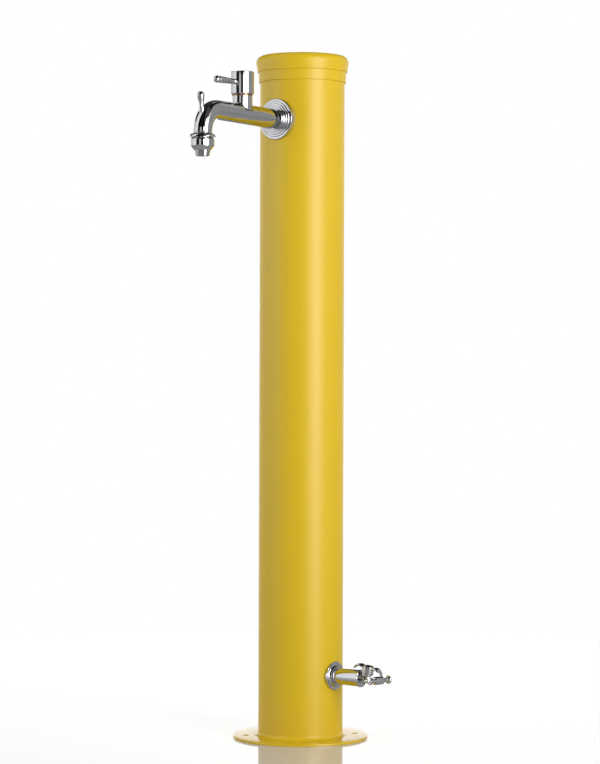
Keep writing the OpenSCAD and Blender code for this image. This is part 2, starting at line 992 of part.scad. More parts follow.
// Ring seal at the bottom of the sleeve's socket
module sleeve_oring() {
    color(rubber)
        at_lower()
            difference() {
                bar(ring_x - spigot_len - oring_t, ring_x - spigot_len, spigot_r);
                bar(ring_x - spigot_len - 2 * oring_t, ring_x - spigot_len + over, waterway_r);
            }
}

// Frame of the hose outlet, which leans forward over the lever
module at_branch() {
    at_lower()
        translate([branch_x, 0, branch_z])
            rotate([0, outlet_lean, 0])
                children();
}

// Body of the hose tap: spigot, ringed front face, and the outlet that rises before it
module lower_valve_body() {
    color(chrome)
        difference() {
            union() {
                at_lower() {
                    bar(ring_x - spigot_len, ring_x + over, spigot_r);
                    turned([
                        [0, ring_x],
                        [end_ring_r - face_cup / 2, ring_x],
                        [end_ring_r, ring_x + face_cup / 2],
                        [end_ring_r, lower_reach - face_cup / 2],
                        [end_ring_r - face_cup / 2, lower_reach],
                        [end_ring_r - face_rim, lower_reach],
                        [end_ring_r - face_rim - face_cup, lower_reach - face_cup],
                        [0, lower_reach - face_cup]
                    ]);
                    translate([0, 0, nose_z])
                        bar(ring_x + over, branch_x, nose_r);
                }
                at_branch() {
                    post(0, branch_h, branch_r);
                    post(nut_seat_z - collar_t, nut_seat_z, nut_r);
                }
            }
            at_lower() {
                translate([0, 0, -lever_drop]) {
                    bar(
                        ring_x - spigot_len - over, lower_reach - face_cup - face_web,
                        cartridge_r + seat_clear);
                    bar(ring_x, lower_reach + over, hose_spindle_r + run_clear);
                }
                translate([0, 0, channel_z])
                    bar(ring_x - spigot_len - over, branch_x, channel_r);
            }
            at_branch()
                post(branch_floor, branch_h + over, outlet_bore_d / 2);
        }
}

// Small ceramic cartridge behind the front face
module lower_cartridge() {
    color(brass)
        at_lower()
            translate([0, 0, -lever_drop])
                difference() {
                    bar(ring_x - spigot_len, lower_reach - face_cup - face_web, cartridge_r);
                    bar(ring_x - spigot_len + hose_spindle_foot, lower_reach, hose_spindle_r + run_clear);
                }
}

// Thin spindle between the cartridge and the lever's boss
module lower_spindle() {
    color(chrome)
        at_lower()
            translate([0, 0, -lever_drop]) {
                bar(
                    ring_x - spigot_len + hose_spindle_foot + run_clear, lower_reach + boss_back,
                    hose_spindle_r);
                bar(lower_reach, hub_x - hub_r, spindle_tip_r);
            }
}

// Turned lever: boss on the spindle, round hub, thin neck, grip and bead
module lower_lever() {
    bead_y = hose_lever_len - hub_half - bead_half;
    grip_end = grip_start + grip_len;
    bead_from = 180 - asin(hose_neck_r / bead_r);
    color(chrome)
        at_lower()
            translate([hub_x, 0, -lever_drop])
                difference() {
                    union() {
                        rotate([0, 0, 90 - hose_lever_lean])
                            turned(concat(
                                [
                                    [0, -hub_half],
                                    [hub_face_r, -hub_half],
                                    [hub_r, -hub_half / 2],
                                    [hub_r, hub_half / 2],
                                    [hub_face_r, hub_half],
                                    [hose_neck_r, hub_half],
                                    [hose_neck_r, grip_start],
                                    [grip_r - grip_round / 3, grip_start],
                                    [grip_r, grip_start + grip_round / 3],
                                    [grip_r, grip_end - grip_round],
                                    [grip_r - grip_round / 3, grip_end - grip_round / 3],
                                    [grip_r - grip_round, grip_end],
                                    [hose_neck_r, grip_end]
                                ],
                                [for (i = [0:10]) let (a = bead_from * (1 - i / 10))
                                    [bead_r * sin(a), bead_y + bead_half * cos(a)]]
                            ));
                        bar(lower_reach + boss_back - hub_x, -hub_r / 2, boss_r);
                    }
                    bar(lower_reach - hub_x, -hub_r, spindle_tip_r + seat_clear);
                }
}

// Side outline of both wings: a flat crest that droops and thins towards each tip
function wing_top(t) = nut_top + wing_rise - wing_droop * t * t;
function wing_low(t) = wing_top(t) - wing_thick_root - (wing_thick_tip - wing_thick_root) * t;
function wing_side(side) = concat(
    [[0, nut_top + wing_rise - wing_thick_root], [0, nut_top + wing_rise]],
    [for (i = [0:wing_points]) let (t = i / wing_points)
        [side * (wing_crest + (wing_span - wing_crest) * t), wing_top(t)]],
    [for (i = [wing_points:-1:0]) let (t = i / wing_points)
        [side * (wing_crest + (wing_span - wing_crest) * t), wing_low(t)]]
);

// Nut with two arched wings, which clamps a hose tail on the outlet by hand
module wing_nut() {
    tip_x = wing_span - wing_w / 2;
    waist = wing_w * wing_waist_share;
    color(chrome)
        at_branch()
            difference() {
                union() {
                    post(nut_bottom, nut_top, nut_r);
                    intersection() {
                        translate([0, wing_w / 2, 0])
                            rotate([90, 0, 0])
                                linear_extrude(height = wing_w)
                                    union() {
                                        polygon(wing_side(1));
                                        polygon(wing_side(-1));
                                    }
                        linear_extrude(height = nut_top + wing_rise + over)
                            union() {
                                for (side = [-1, 1])
                                    translate([side * tip_x, 0])
                                        circle(r = wing_w / 2, $fn = 48);
                                polygon([
                                    [-tip_x, -wing_w / 2],
                                    [0, -waist / 2],
                                    [tip_x, -wing_w / 2],
                                    [tip_x, wing_w / 2],
                                    [0, waist / 2],
                                    [-tip_x, wing_w / 2]
                                ]);
                            }
                    }
                }
                post(0, nut_top + wing_rise + over, branch_r + run_clear);
                post(nut_top, nut_top + wing_rise + over, branch_r + clip_w + gap);
            }
}

// Spring ring that keeps the wing nut on the outlet
module wing_nut_clip() {
    color(chrome)
        at_branch()
            difference() {
                post(clip_z, clip_z + clip_t, branch_r + clip_w);
                post(clip_z - over, clip_z + clip_t + over, branch_r);
            }
}

base_flange();
post_tube();
top_cap();
supply_inlet();
inlet_pipe();
lower_tee();
riser_pipe();
upper_elbow();
compression_nuts();
upper_backing_plate();
upper_backnut();
lower_backing_plate();
lower_backnut();
upper_rosette_seal();
upper_rosette();
upper_tap_body();
bucket_hook();
upper_cartridge();
gland_ring();
upper_spindle();
upper_handle_cap();
upper_lever();
handle_screw();
handle_button();
splash_skirt();
outlet_washer();
outlet_nozzle();
outlet_collar();
aerator_insert();
lower_rosette_seal();
lower_rosette();
lower_sleeve();
sleeve_oring();
lower_valve_body();
lower_cartridge();
lower_spindle();
lower_lever();
wing_nut();
wing_nut_clip();
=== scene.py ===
import math
import bpy
import bmesh
from mathutils import Matrix, Vector


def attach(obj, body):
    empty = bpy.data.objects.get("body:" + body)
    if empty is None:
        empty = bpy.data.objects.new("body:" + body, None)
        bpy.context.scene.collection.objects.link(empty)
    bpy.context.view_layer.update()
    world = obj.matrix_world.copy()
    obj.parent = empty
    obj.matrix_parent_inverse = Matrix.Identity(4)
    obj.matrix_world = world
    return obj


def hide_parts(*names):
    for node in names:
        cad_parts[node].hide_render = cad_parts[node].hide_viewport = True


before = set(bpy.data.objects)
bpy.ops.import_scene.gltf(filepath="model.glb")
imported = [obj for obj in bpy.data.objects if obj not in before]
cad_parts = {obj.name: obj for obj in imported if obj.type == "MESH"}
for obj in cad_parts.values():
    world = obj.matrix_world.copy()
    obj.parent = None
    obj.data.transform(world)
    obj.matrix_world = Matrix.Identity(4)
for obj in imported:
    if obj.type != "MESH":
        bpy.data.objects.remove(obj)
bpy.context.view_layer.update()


# The studio: a glossy floor that fades into a white backdrop, a pale room and one tall soft light
# on the right. Dark gaps between the room's panels, and a dark ceiling, give the chrome its black
# stripes. The studio's sizes are in metres, and those of the post's pieces in millimetres.
CAMERA_TURN = math.radians(37)
TO_CAMERA = Vector((math.sin(CAMERA_TURN), -math.cos(CAMERA_TURN), 0))
TO_RIGHT = Vector((math.cos(CAMERA_TURN), math.sin(CAMERA_TURN), 0))


class Wire:
    """A node's output that can be added, subtracted, multiplied and divided."""

    def __init__(self, nodes, made, which=0):
        self.nodes, self.made = nodes, made
        self.socket = made.outputs[which] if len(made.outputs) else None

    def output(self, which):
        return Wire(self.nodes, self.made, which)

    def __add__(self, other): return self.nodes.maths("ADD", self, other)
    def __radd__(self, other): return self.nodes.maths("ADD", other, self)
    def __sub__(self, other): return self.nodes.maths("SUBTRACT", self, other)
    def __rsub__(self, other): return self.nodes.maths("SUBTRACT", other, self)
    def __mul__(self, other): return self.nodes.maths("MULTIPLY", self, other)
    def __rmul__(self, other): return self.nodes.maths("MULTIPLY", other, self)
    def __truediv__(self, other): return self.nodes.maths("DIVIDE", self, other)
    def __rtruediv__(self, other): return self.nodes.maths("DIVIDE", other, self)


class Nodes:
    """One node tree. add() makes a node from its type, its settings and its sockets."""

    def __init__(self, tree):
        self.tree = tree
        tree.nodes.clear()

    def add(self, kind, settings=None, sockets=None):
        made = self.tree.nodes.new(kind)
        for name, value in (settings or {}).items():
            if name == "stops":
                ramp = made.color_ramp
                while len(ramp.elements) > 1:
                    ramp.elements.remove(ramp.elements[-1])
                ramp.elements[0].position, ramp.elements[0].color = value[0]
                for place, colour in value[1:]:
                    ramp.elements.new(place).color = colour
            else:
                setattr(made, name, value)
        for key, value in (sockets or {}).items():
            if isinstance(value, Wire):
                self.tree.links.new(value.socket, made.inputs[key])
            else:
                made.inputs[key].default_value = value
        return Wire(self, made)

    def maths(self, operation, *values):
        return self.add("ShaderNodeMath", {"operation": operation}, dict(enumerate(values)))

    def blend(self, mask, first, second):
        return self.add("ShaderNodeMix", {"data_type": "RGBA"}, {0: mask, 6: first, 7: second}).output(2)

    def between(self, value, start, stop, low=0.0, high=1.0, curve="LINEAR"):
        """Goes from low to high while the value goes from start to stop."""
        return self.add("ShaderNodeMapRange", {"interpolation_type": curve},
                        {"Value": value, 1: start, 2: stop, 3: low, 4: high})

    def place(self):
        return self.add("ShaderNodeTexCoord").output("Object")

    def noise(self, scale, detail=2.0, stretch=(1, 1, 1)):
        stretched = self.add("ShaderNodeMapping", None, {"Vector": self.place(), "Scale": stretch})
        return self.add("ShaderNodeTexNoise", None, {"Vector": stretched, "Scale": scale, "Detail": detail})

    def bumped(self, height, strength, depth):
        return self.add("ShaderNodeBump", None, {"Strength": strength, "Distance": depth, "Height": height})


def grey(level):
    return (level, level, level, 1.0)


def finish(name):
    """A new material and its empty node tree."""
    material = bpy.data.materials.new(name)
    material.use_nodes = True
    return material, Nodes(material.node_tree)


world = bpy.data.worlds.new("studio")
bpy.context.scene.world = world
world.use_nodes = True
room = Nodes(world.node_tree)
looking = room.add("ShaderNodeTexCoord").output("Generated")


def along(way):
    """How far the direction that is looked in points a given way, from -1 to 1."""
    both = {0: looking, 1: way}
    return room.add("ShaderNodeVectorMath", {"operation": "DOT_PRODUCT"}, both).output("Value")


# The walls are panels by the angle round the object, counted in degrees from the camera to the
# right, each with its brightness. One set lights the object and the other is what gloss mirrors.
SOFT_PANELS = [(-180, 2.0), (-162, 1.7), (-145, 1.2), (-112, 2.25), (-60, 3.5), (-48, 3.4), (-47, 0.01),
               (-34, 0.01), (-32, 1.7), (-12, 1.6), (-10, 0.01), (7, 0.01), (9, 1.3), (24, 1.5), (72, 1.65),
               (82, 1.05), (112, 1.05), (145, 1.3), (162, 1.7), (180, 2.0)]
MIRRORED_PANELS = [(-180, 1.75), (-162, 1.5), (-145, 0.8), (-120, 0.85), (-92, 1.15), (-63, 1.25),
                   (-60, 0.02), (-32, 0.02), (-30, 0.7), (-13, 0.75), (-11, 0.02), (9, 0.02), (12, 3.2),
                   (60, 3.2), (66, 0.5), (82, 0.42), (112, 0.40), (145, 0.7), (162, 1.5), (180, 1.75)]
# The ceiling by height, from straight down at 0 to straight up at 1. It hangs lower at the front
# and, in mirrors, at the back too.
SOFT_CEILING = [(0.0, 1.0), (0.68, 1.0), (0.71, 0.03), (0.86, 0.03), (0.91, 0.4), (1.0, 0.5)]
MIRRORED_CEILING = [(0.0, 1.0), (0.69, 1.0), (0.72, 0.03), (1.0, 0.03)]
FRONT_HANG, BACK_HANG = 0.2, 0.086
# In mirrors it is open in a round patch high on the left, and over the wall on the right.
PATCH_WAY = (TO_CAMERA * 0.1 - TO_RIGHT * 0.78 + Vector((0, 0, 0.62))).normalized()
PATCH_EDGE = (0.89, 0.92)
RIGHT_EDGE, RIGHT_SLANT = (0.48, 0.56), 0.5

ahead, right = along(TO_CAMERA), along(TO_RIGHT)
share_round = room.maths("ARCTAN2", right, ahead) / (2 * math.pi) + 0.5
up = room.add("ShaderNodeSeparateXYZ", None, {"Vector": looking}).output("Z")
front = room.maths("MAXIMUM", ahead, 0.0)
behind = room.maths("MAXIMUM", 0 - ahead, 0.0)
climb = (up + front * FRONT_HANG) * 0.5 + 0.5
mirrored_climb = climb + behind * BACK_HANG


def levels(along_it, stops):
    """A brightness that goes from stop to stop, each a (place, level)."""
    shades = [(place, grey(level)) for place, level in stops]
    return room.add("ShaderNodeValToRGB", {"stops": shades}, {"Fac": along_it}).output("Color")


def walls(panels, above):
    """The room's brightness: its panels times what is overhead."""
    around = levels(share_round, [(degrees / 360 + 0.5, level) for degrees, level in panels])
    return room.add("ShaderNodeMix", {"data_type": "RGBA", "blend_type": "MULTIPLY"},
                    {0: 1.0, 6: around, 7: above}).output(2)


ceiling_open = room.maths("MAXIMUM", room.between(along(PATCH_WAY), *PATCH_EDGE),
                          room.between(right - front * RIGHT_SLANT, *RIGHT_EDGE))
soft_walls = walls(SOFT_PANELS, levels(climb, SOFT_CEILING))
mirrored_walls = walls(MIRRORED_PANELS, room.blend(
    ceiling_open, levels(mirrored_climb, MIRRORED_CEILING), grey(1.0)))
paths = room.add("ShaderNodeLightPath")
studio_colour = room.blend(paths.output("Is Glossy Ray"), soft_walls, mirrored_walls)
light = room.add("ShaderNodeBackground", None, {
    "Color": room.blend(paths.output("Is Camera Ray"), studio_colour, grey(1.0)), "Strength": 1.0})
room.add("ShaderNodeOutputWorld", None, {"Surface": light})

SOFTBOX_SIZE, SOFTBOX_POWER = (0.78, 2.1), 31.5
SOFTBOX_TURN, SOFTBOX_AWAY, SOFTBOX_Z = math.radians(39), 2.0, 0.85
softbox_light = bpy.data.lights.new("softbox", "AREA")
softbox_light.shape = "RECTANGLE"
softbox_light.size, softbox_light.size_y = SOFTBOX_SIZE
softbox_light.energy = SOFTBOX_POWER
softbox = bpy.data.objects.new("softbox", softbox_light)
bpy.context.collection.objects.link(softbox)
softbox_way = TO_CAMERA * math.cos(SOFTBOX_TURN) + TO_RIGHT * math.sin(SOFTBOX_TURN)
softbox.location = softbox_way * SOFTBOX_AWAY + Vector((0, 0, SOFTBOX_Z))
softbox.rotation_euler = softbox_way.to_track_quat("Z", "Y").to_euler()
softbox.visible_camera = False

FLOOR_HALF, FADE_FROM, FADE_TO = 9, 0.3, 1.3
FLOOR_GREY, FLOOR_GLOW = 0.55, 0.04
floor_material, nodes = finish("white_floor")
seen = nodes.add("ShaderNodeLightPath").output("Is Camera Ray")
sheen = nodes.add("ShaderNodeBsdfPrincipled", None, {
    "Base Color": grey(FLOOR_GREY), "Roughness": 0.04, "IOR": 1.5})
glow = nodes.add("ShaderNodeEmission", None, {"Color": grey(1.0), "Strength": seen * FLOOR_GLOW})
near_floor = nodes.add("ShaderNodeAddShader", None, {0: sheen, 1: glow})
backdrop = nodes.add("ShaderNodeEmission", None, {"Color": grey(1.0), "Strength": 1.0})
from_foot = nodes.add("ShaderNodeVectorMath", {"operation": "LENGTH"}, {0: nodes.place()}).output("Value")
faded = nodes.between(from_foot, FADE_FROM, FADE_TO, curve="SMOOTHSTEP")
nodes.add("ShaderNodeOutputMaterial", None, {
    "Surface": nodes.add("ShaderNodeMixShader", None, {0: faded * seen, 1: near_floor, 2: backdrop})})
floor_mesh = bpy.data.meshes.new("floor")
floor_mesh.from_pydata([(x * FLOOR_HALF, y * FLOOR_HALF, 0) for x, y in ((-1, -1), (1, -1), (1, 1), (-1, 1))],
                       [], [(0, 1, 2, 3)])
floor_mesh.materials.append(floor_material)
floor = bpy.data.objects.new("floor", floor_mesh)
bpy.context.collection.objects.link(floor)

PICTURE_H_PX, FOCUS_PX, AIM_RIGHT_PX, AIM_DOWN_PX = 764, 2520, 1.5, 32.2
SENSOR, CAMERA_AWAY, CAMERA_Z, CAMERA_ROLL = 36, 3.285, 0.505, math.radians(0.186)
camera_data = bpy.data.cameras.new("camera")
camera_data.sensor_width = SENSOR
camera_data.lens = FOCUS_PX / PICTURE_H_PX * SENSOR
camera_data.clip_end = 60
camera = bpy.data.objects.new("camera", camera_data)
bpy.context.collection.objects.link(camera)
yaw, pitch = math.atan(AIM_RIGHT_PX / FOCUS_PX), math.atan(AIM_DOWN_PX / FOCUS_PX)
level_way = -TO_CAMERA * math.cos(yaw) - TO_RIGHT * math.sin(yaw)
forward = level_way * math.cos(pitch) - Vector((0, 0, math.sin(pitch)))
side = forward.cross(Vector((0, 0, 1))).normalized()
facing = Matrix((side, side.cross(forward), -forward)).transposed().to_4x4()
camera.matrix_world = (Matrix.Translation(TO_CAMERA * CAMERA_AWAY + Vector((0, 0, CAMERA_Z))) @ facing
                       @ Matrix.Rotation(CAMERA_ROLL, 4, "Z"))
bpy.context.scene.camera = camera
bpy.context.scene.view_settings.view_transform = "Standard"


# Base plate: a round steel plate, bolted down through four anchor holes and welded to the foot of
# the tube. The weld is a hollow fillet with faint ripples, and plate, tube and cap are powder coated
# together in satin yellow with a fine orange peel.
MM = 0.001
POST_R = 55
PLATE_R, PLATE_T, PLATE_EDGE, OPENING_R = 87.5, 3, 0.5, 30
ANCHORS, ANCHOR_TURN, ANCHOR_CIRCLE_R, ANCHOR_HOLE_R = 4, 45, 71.5, 4.25
WELD_LEG, WELD_BITE, WELD_SINK, WELD_LIFT, WELD_RIPPLES, RIPPLE_H = 5.5, 0.4, 0.2, 0.02, 96.0, 0.06
SEAM, DRILL_PAST = 0.8, 1


def arc(centre, radii, first, last, step):
    """Outline points on part of a circle or an ellipse, from angle to angle in degrees."""
    ways = [math.radians(a) for a in range(first, last + (1 if step > 0 else -1), step)]
    return [(centre[0] + radii[0] * math.cos(way), centre[1] + radii[1] * math.sin(way)) for way in ways]


def cylinder(radius, low, high):
    return [(0, low), (radius, low), (radius, high), (0, high)]


def softened(rows, reach, ring=False, steps=4):
    """A turned outline with each of its corners rounded off."""
    smooth = []
    for i, corner in enumerate(rows):
        if not ring and i in (0, len(rows) - 1):
            smooth.append(corner)
            continue
        here, back, on = Vector(corner), Vector(rows[i - 1]), Vector(rows[(i + 1) % len(rows)])
        to_back, to_on = back - here, on - here
        bend = math.pi - to_back.angle(to_on, math.pi)
        if bend < math.radians(20) or here.x < 1e-9:
            smooth.append(corner)
            continue
        cut = min(reach * math.tan(bend / 2), 0.45 * to_back.length, 0.45 * to_on.length)
        start, end = here + to_back.normalized() * cut, here + to_on.normalized() * cut
        for k in range(steps + 1):
            t = k / steps
            smooth.append(tuple(start * (1 - t) ** 2 + here * 2 * t * (1 - t) + end * t ** 2))
    return smooth


def turned(rows, place=Matrix(), spin=128, seat=None):
    """A closed shell turned from (radius, height) rows; seat keeps it outside a round post."""
    shell = bmesh.new()
    rings = []
    for radius, height in rows:
        if radius < 1e-6:
            rings.append([shell.verts.new(place @ Vector((0, 0, height * MM)))])
            continue
        ring = []
        for k in range(spin):
            angle = 2 * math.pi * k / spin
            x, y, h = radius * math.cos(angle), radius * math.sin(angle), height
            if seat:
                h = max(h, math.sqrt(max(seat * seat - y * y, 0)))
            ring.append(shell.verts.new(place @ Vector((x * MM, y * MM, h * MM))))
        rings.append(ring)
    pairs = list(zip(rings, rings[1:]))
    if len(rings[0]) > 1 and len(rings[-1]) > 1:
        pairs.append((rings[-1], rings[0]))
    for low, high in pairs:
        for k in range(spin):
            corners = [low[k % len(low)], low[(k + 1) % len(low)],
                       high[(k + 1) % len(high)], high[k % len(high)]]
            kept = [c for n, c in enumerate(corners) if c not in corners[:n]]
            if len(kept) > 2:
                shell.faces.new(kept)
    return shell


def baked(made, modifier):
    """Turns a modifier's result into the piece's plain mesh."""
    flat = bpy.data.meshes.new_from_object(made.evaluated_get(bpy.context.evaluated_depsgraph_get()))
    made.modifiers.remove(modifier)
    old, made.data = made.data, flat
    bpy.data.meshes.remove(old)


def pierced(made, shell):
    """Cuts a closed shell out of a piece, for good."""
    mesh = bpy.data.meshes.new("cutter")
    bmesh.ops.recalc_face_normals(shell, faces=shell.faces)
    shell.to_mesh(mesh)
    shell.free()
    cutter = bpy.data.objects.new("cutter", mesh)
    bpy.context.collection.objects.link(cutter)
    cut = made.modifiers.new("cut", "BOOLEAN")
    cut.operation, cut.solver, cut.object = "DIFFERENCE", "EXACT", cutter
    baked(made, cut)
    bpy.data.objects.remove(cutter)


def grown(made, tree, values):
    """Runs a node group on a piece and keeps the result as its plain mesh."""
    maker = made.modifiers.new("maker", "NODES")
    maker.node_group = tree
    for item in tree.interface.items_tree:
        if item.in_out == "INPUT" and item.name in values:
            maker[item.identifier] = values[item.name]
    baked(made, maker)


def inputs(tree, *sizes):
    """Names the sizes that a node group takes, and gives its nodes and its group input."""
    tree.interface.new_socket("Geometry", in_out="INPUT", socket_type="NodeSocketGeometry")
    for name, kind in sizes:
        tree.interface.new_socket(name, in_out="INPUT", socket_type="NodeSocket" + kind)
    tree.interface.new_socket("Geometry", in_out="OUTPUT", socket_type="NodeSocketGeometry")
    nodes = Nodes(tree)
    return nodes, nodes.add("NodeGroupInput")


def handed_over(nodes, geometry, material):
    """Ends a node group: real faces, with their material."""
    real = nodes.add("GeometryNodeRealizeInstances", None, {"Geometry": geometry})
    named = nodes.add("GeometryNodeSetMaterial", None, {"Geometry": real, "Material": material})
    nodes.add("NodeGroupOutput", None, {"Geometry": named})


def piece(name, shells, material, slot, stands_for=(), body="post", crease=30, cuts=(), grow=None):
    """Joins shells into one object that rides on a body and stands for CAD nodes.

    The cuts are closed shells taken out of it, and grow is a node group with its sizes.
    """
    mesh = bpy.data.meshes.new(name)
    whole = bmesh.new()
    for shell in shells:
        bmesh.ops.remove_doubles(shell, verts=shell.verts, dist=1e-7)
        bmesh.ops.recalc_face_normals(shell, faces=shell.faces)
        part = bpy.data.meshes.new("shell")
        shell.to_mesh(part)
        whole.from_mesh(part)
        bpy.data.meshes.remove(part)
        shell.free()
    whole.to_mesh(mesh)
    whole.free()
    mesh.materials.append(material)
    made = bpy.data.objects.new(name, mesh)
    bpy.context.collection.objects.link(made)
    for cut in cuts:
        pierced(made, cut)
    if grow:
        grown(made, *grow)
    made.data.shade_smooth()
    made.data.set_sharp_from_angle(angle=math.radians(crease))
    if stands_for:
        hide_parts(*stands_for)
    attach(made, body)


def tone(red, green, blue):
    """A screen colour from 0 to 255 as the linear colour that a shader takes."""
    parts = [c / 255 for c in (red, green, blue)]
    return tuple(p / 12.92 if p < 0.04045 else ((p + 0.055) / 1.055) ** 2.4 for p in parts) + (1.0,)


def shaded(nodes, sockets):
    shader = nodes.add("ShaderNodeBsdfPrincipled", None, sockets)
    nodes.add("ShaderNodeOutputMaterial", None, {"Surface": shader})


COAT_DEEP, COAT_PALE, COAT_DUST = tone(217, 181, 8), tone(222, 186, 12), tone(196, 170, 66)
DUST_TOP, SMOOTH_TO, ROUGH_FROM, PEEL_DEEP = 50, 3.2, 7.5, 0.4
powder_coat, nodes = finish("satin_yellow_powder_coat")
cloud = nodes.noise(scale=9.0, detail=3.0)
peel = nodes.noise(scale=620.0, detail=1.5)
height = nodes.add("ShaderNodeSeparateXYZ", None, {"Vector": nodes.place()}).output("Z")
dust = nodes.between(height, 0.0, DUST_TOP * MM, low=1.0, high=0.0) * cloud * 0.25
plate_top = nodes.between(height, SMOOTH_TO * MM, ROUGH_FROM * MM, low=1.0, high=0.0)
shaded(nodes, {
    "Base Color": nodes.blend(dust, nodes.blend(cloud, COAT_DEEP, COAT_PALE), COAT_DUST),
    "Roughness": 0.36 + cloud * 0.06 - plate_top * 0.2,
    "IOR": 1.5,
    "Normal": nodes.bumped(peel, strength=0.10, depth=PEEL_DEEP * MM)})


def painted(name, shells, stands_for=(), **more):
    piece(name, shells, powder_coat, "yellow_paint", stands_for, **more)


flange_rows = [(OPENING_R, 0), (PLATE_R, 0), (PLATE_R, PLATE_T), (POST_R + WELD_LEG, PLATE_T),
               (POST_R, PLATE_T), (POST_R - SEAM, PLATE_T), (OPENING_R, PLATE_T)]
circle_r = ANCHOR_CIRCLE_R * MM
anchor_ways = [math.radians(ANCHOR_TURN + 360 / ANCHORS * k) for k in range(ANCHORS)]
anchor_places = [(circle_r * math.cos(a), circle_r * math.sin(a), 0) for a in anchor_ways]
hole_rows = cylinder(ANCHOR_HOLE_R, -DRILL_PAST, PLATE_T + DRILL_PAST)
painted("base_plate", [turned(softened(flange_rows, PLATE_EDGE, ring=True), spin=192)], ["base_flange"],
        cuts=[turned(hole_rows, Matrix.Translation(place), spin=48) for place in anchor_places])

weld_mid = (POST_R + WELD_LEG, PLATE_T + WELD_LIFT + WELD_LEG)
weld_rows = [(POST_R - WELD_BITE, PLATE_T - WELD_SINK), (POST_R + WELD_LEG, PLATE_T - WELD_SINK)]
weld_rows += arc(weld_mid, (WELD_LEG, WELD_LEG), -90, -180, -9) + [(POST_R - WELD_BITE, weld_mid[1])]
ripple = bpy.data.node_groups.new("weld_ripples", "GeometryNodeTree")
nodes, given = inputs(ripple, ("Ripples", "Float"), ("Height", "Float"), ("Material", "Material"))
spot = nodes.add("ShaderNodeSeparateXYZ", None, {"Vector": nodes.add("GeometryNodeInputPosition")})
turn = nodes.maths("ARCTAN2", spot.output("Y"), spot.output("X"))
swell = nodes.maths("SINE", turn * given.output("Ripples")) * given.output("Height")
outwards = nodes.add("GeometryNodeInputNormal")
push = nodes.add("ShaderNodeVectorMath", {"operation": "SCALE"}, {0: outwards, "Scale": swell})
moved = nodes.add("GeometryNodeSetPosition", None, {"Geometry": given.output("Geometry"), "Offset": push})
handed_over(nodes, moved, given.output("Material"))
painted("weld_fillet", [turned(weld_rows, spin=512)],
        grow=(ripple, {"Ripples": WELD_RIPPLES, "Height": RIPPLE_H * MM, "Material": powder_coat}))


# Post tube: a drawn steel tube with a 2.5 mm wall, bored for the two taps at right angles to each
# other and powder coated with its plate.
POST_WALL, TUBE_TOP, TAP_HOLE_R, DRILL_FROM, DRILL_TO = 2.5, 877, 10.85, 20, 70
UPPER_Z, LOWER_Z = 801, 84
UPPER = Matrix.Translation((0, 0, UPPER_Z * MM)) @ Matrix.Rotation(math.radians(-90), 4, "Z")
LOWER = Matrix.Translation((0, 0, LOWER_Z * MM))
OUTWARD = Matrix.Rotation(math.radians(90), 4, "Y")


def tube(inner, outer, low, high):
    return [(inner, low), (outer, low), (outer, high), (inner, high)]


wall_rows = tube(POST_R - POST_WALL, POST_R, PLATE_T, TUBE_TOP)
bore_rows = cylinder(TAP_HOLE_R, DRILL_FROM, DRILL_TO)
painted("post_wall", [turned(wall_rows, spin=192)], ["post_tube"],
        cuts=[turned(bore_rows, way @ OUTWARD, spin=64) for way in (UPPER, LOWER)])


# Cap: a pressed steel cap pushed over the tube. It has a plain band, then a flared band with a
# rounded shoulder and a nearly flat top, and is coated with the post.
CAP_TOP, CAP_BOTTOM, CAP_BORE_R, CAP_BAND_R, CAP_BEND = 886.5, 851.8, 55.05, 56.7, 0.5
FLARE_Z, FLARE_R, FLARE_LIFT, CREASE, SHOULDER_MID_R, SHOULDER_R = 865.1, 58.4, 0.5, 0.4, 51.3, 9
CAP_TOP_T, SHELF_R = 1.8, 49.5
cap_rows = softened([(CAP_BORE_R, CAP_BOTTOM), (CAP_BAND_R, CAP_BOTTOM), (CAP_BAND_R, FLARE_Z),
                     (CAP_BAND_R + CREASE, FLARE_Z + CREASE), (FLARE_R, FLARE_Z + FLARE_LIFT)], CAP_BEND)
cap_rows += arc((SHOULDER_MID_R, CAP_TOP - SHOULDER_R), (SHOULDER_R, SHOULDER_R), 0, 90, 6)
cap_rows += [(0, CAP_TOP), (0, CAP_TOP - CAP_TOP_T), (SHELF_R, CAP_TOP - CAP_TOP_T), (SHELF_R, TUBE_TOP),
             (CAP_BORE_R, TUBE_TOP), (CAP_BORE_R, CAP_BOTTOM)]
painted("post_cap", [turned(cap_rows, spin=192)], ["top_cap"])


# Bucket tap, rosette: chromed brass turned in four shallow steps, hollow behind. Its rim is cut to
# the round of the post and seated on a black gasket.
SMEAR_DEEP, SMEAR_PALE = (0.53, 0.535, 0.55, 1), (0.58, 0.585, 0.60, 1)
SPOT_FROM, SPOT_TO, GRAIN_DEEP = 0.62, 0.72, 0.2
chrome_plate, nodes = finish("polished_chrome")
smear = nodes.noise(scale=38.0, detail=4.0)
spots = nodes.noise(scale=260.0)
shaded(nodes, {
    "Base Color": nodes.blend(smear, SMEAR_DEEP, SMEAR_PALE),
    "Metallic": 1.0,
    "Roughness": 0.02 + smear * 0.03 + nodes.between(spots, SPOT_FROM, SPOT_TO) * 0.03,
    "Normal": nodes.bumped(smear, strength=0.06, depth=GRAIN_DEEP * MM)})

gasket_rubber, nodes = finish("gasket_rubber")
grain = nodes.noise(scale=1400.0)
shaded(nodes, {
    "Base Color": nodes.blend(grain, grey(0.012), grey(0.03)),
    "Roughness": 0.62 + grain * 0.2,
    "Normal": nodes.bumped(grain, strength=0.2, depth=GRAIN_DEEP * MM)})


def chromed(name, shells, stands_for, **more):
    piece(name, shells, chrome_plate, "polished_chrome", stands_for, **more)


def dress(material, *names):
    """Gives CAD nodes that stay their finish."""
    for name in names:
        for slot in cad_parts[name].material_slots:
            slot.material = material


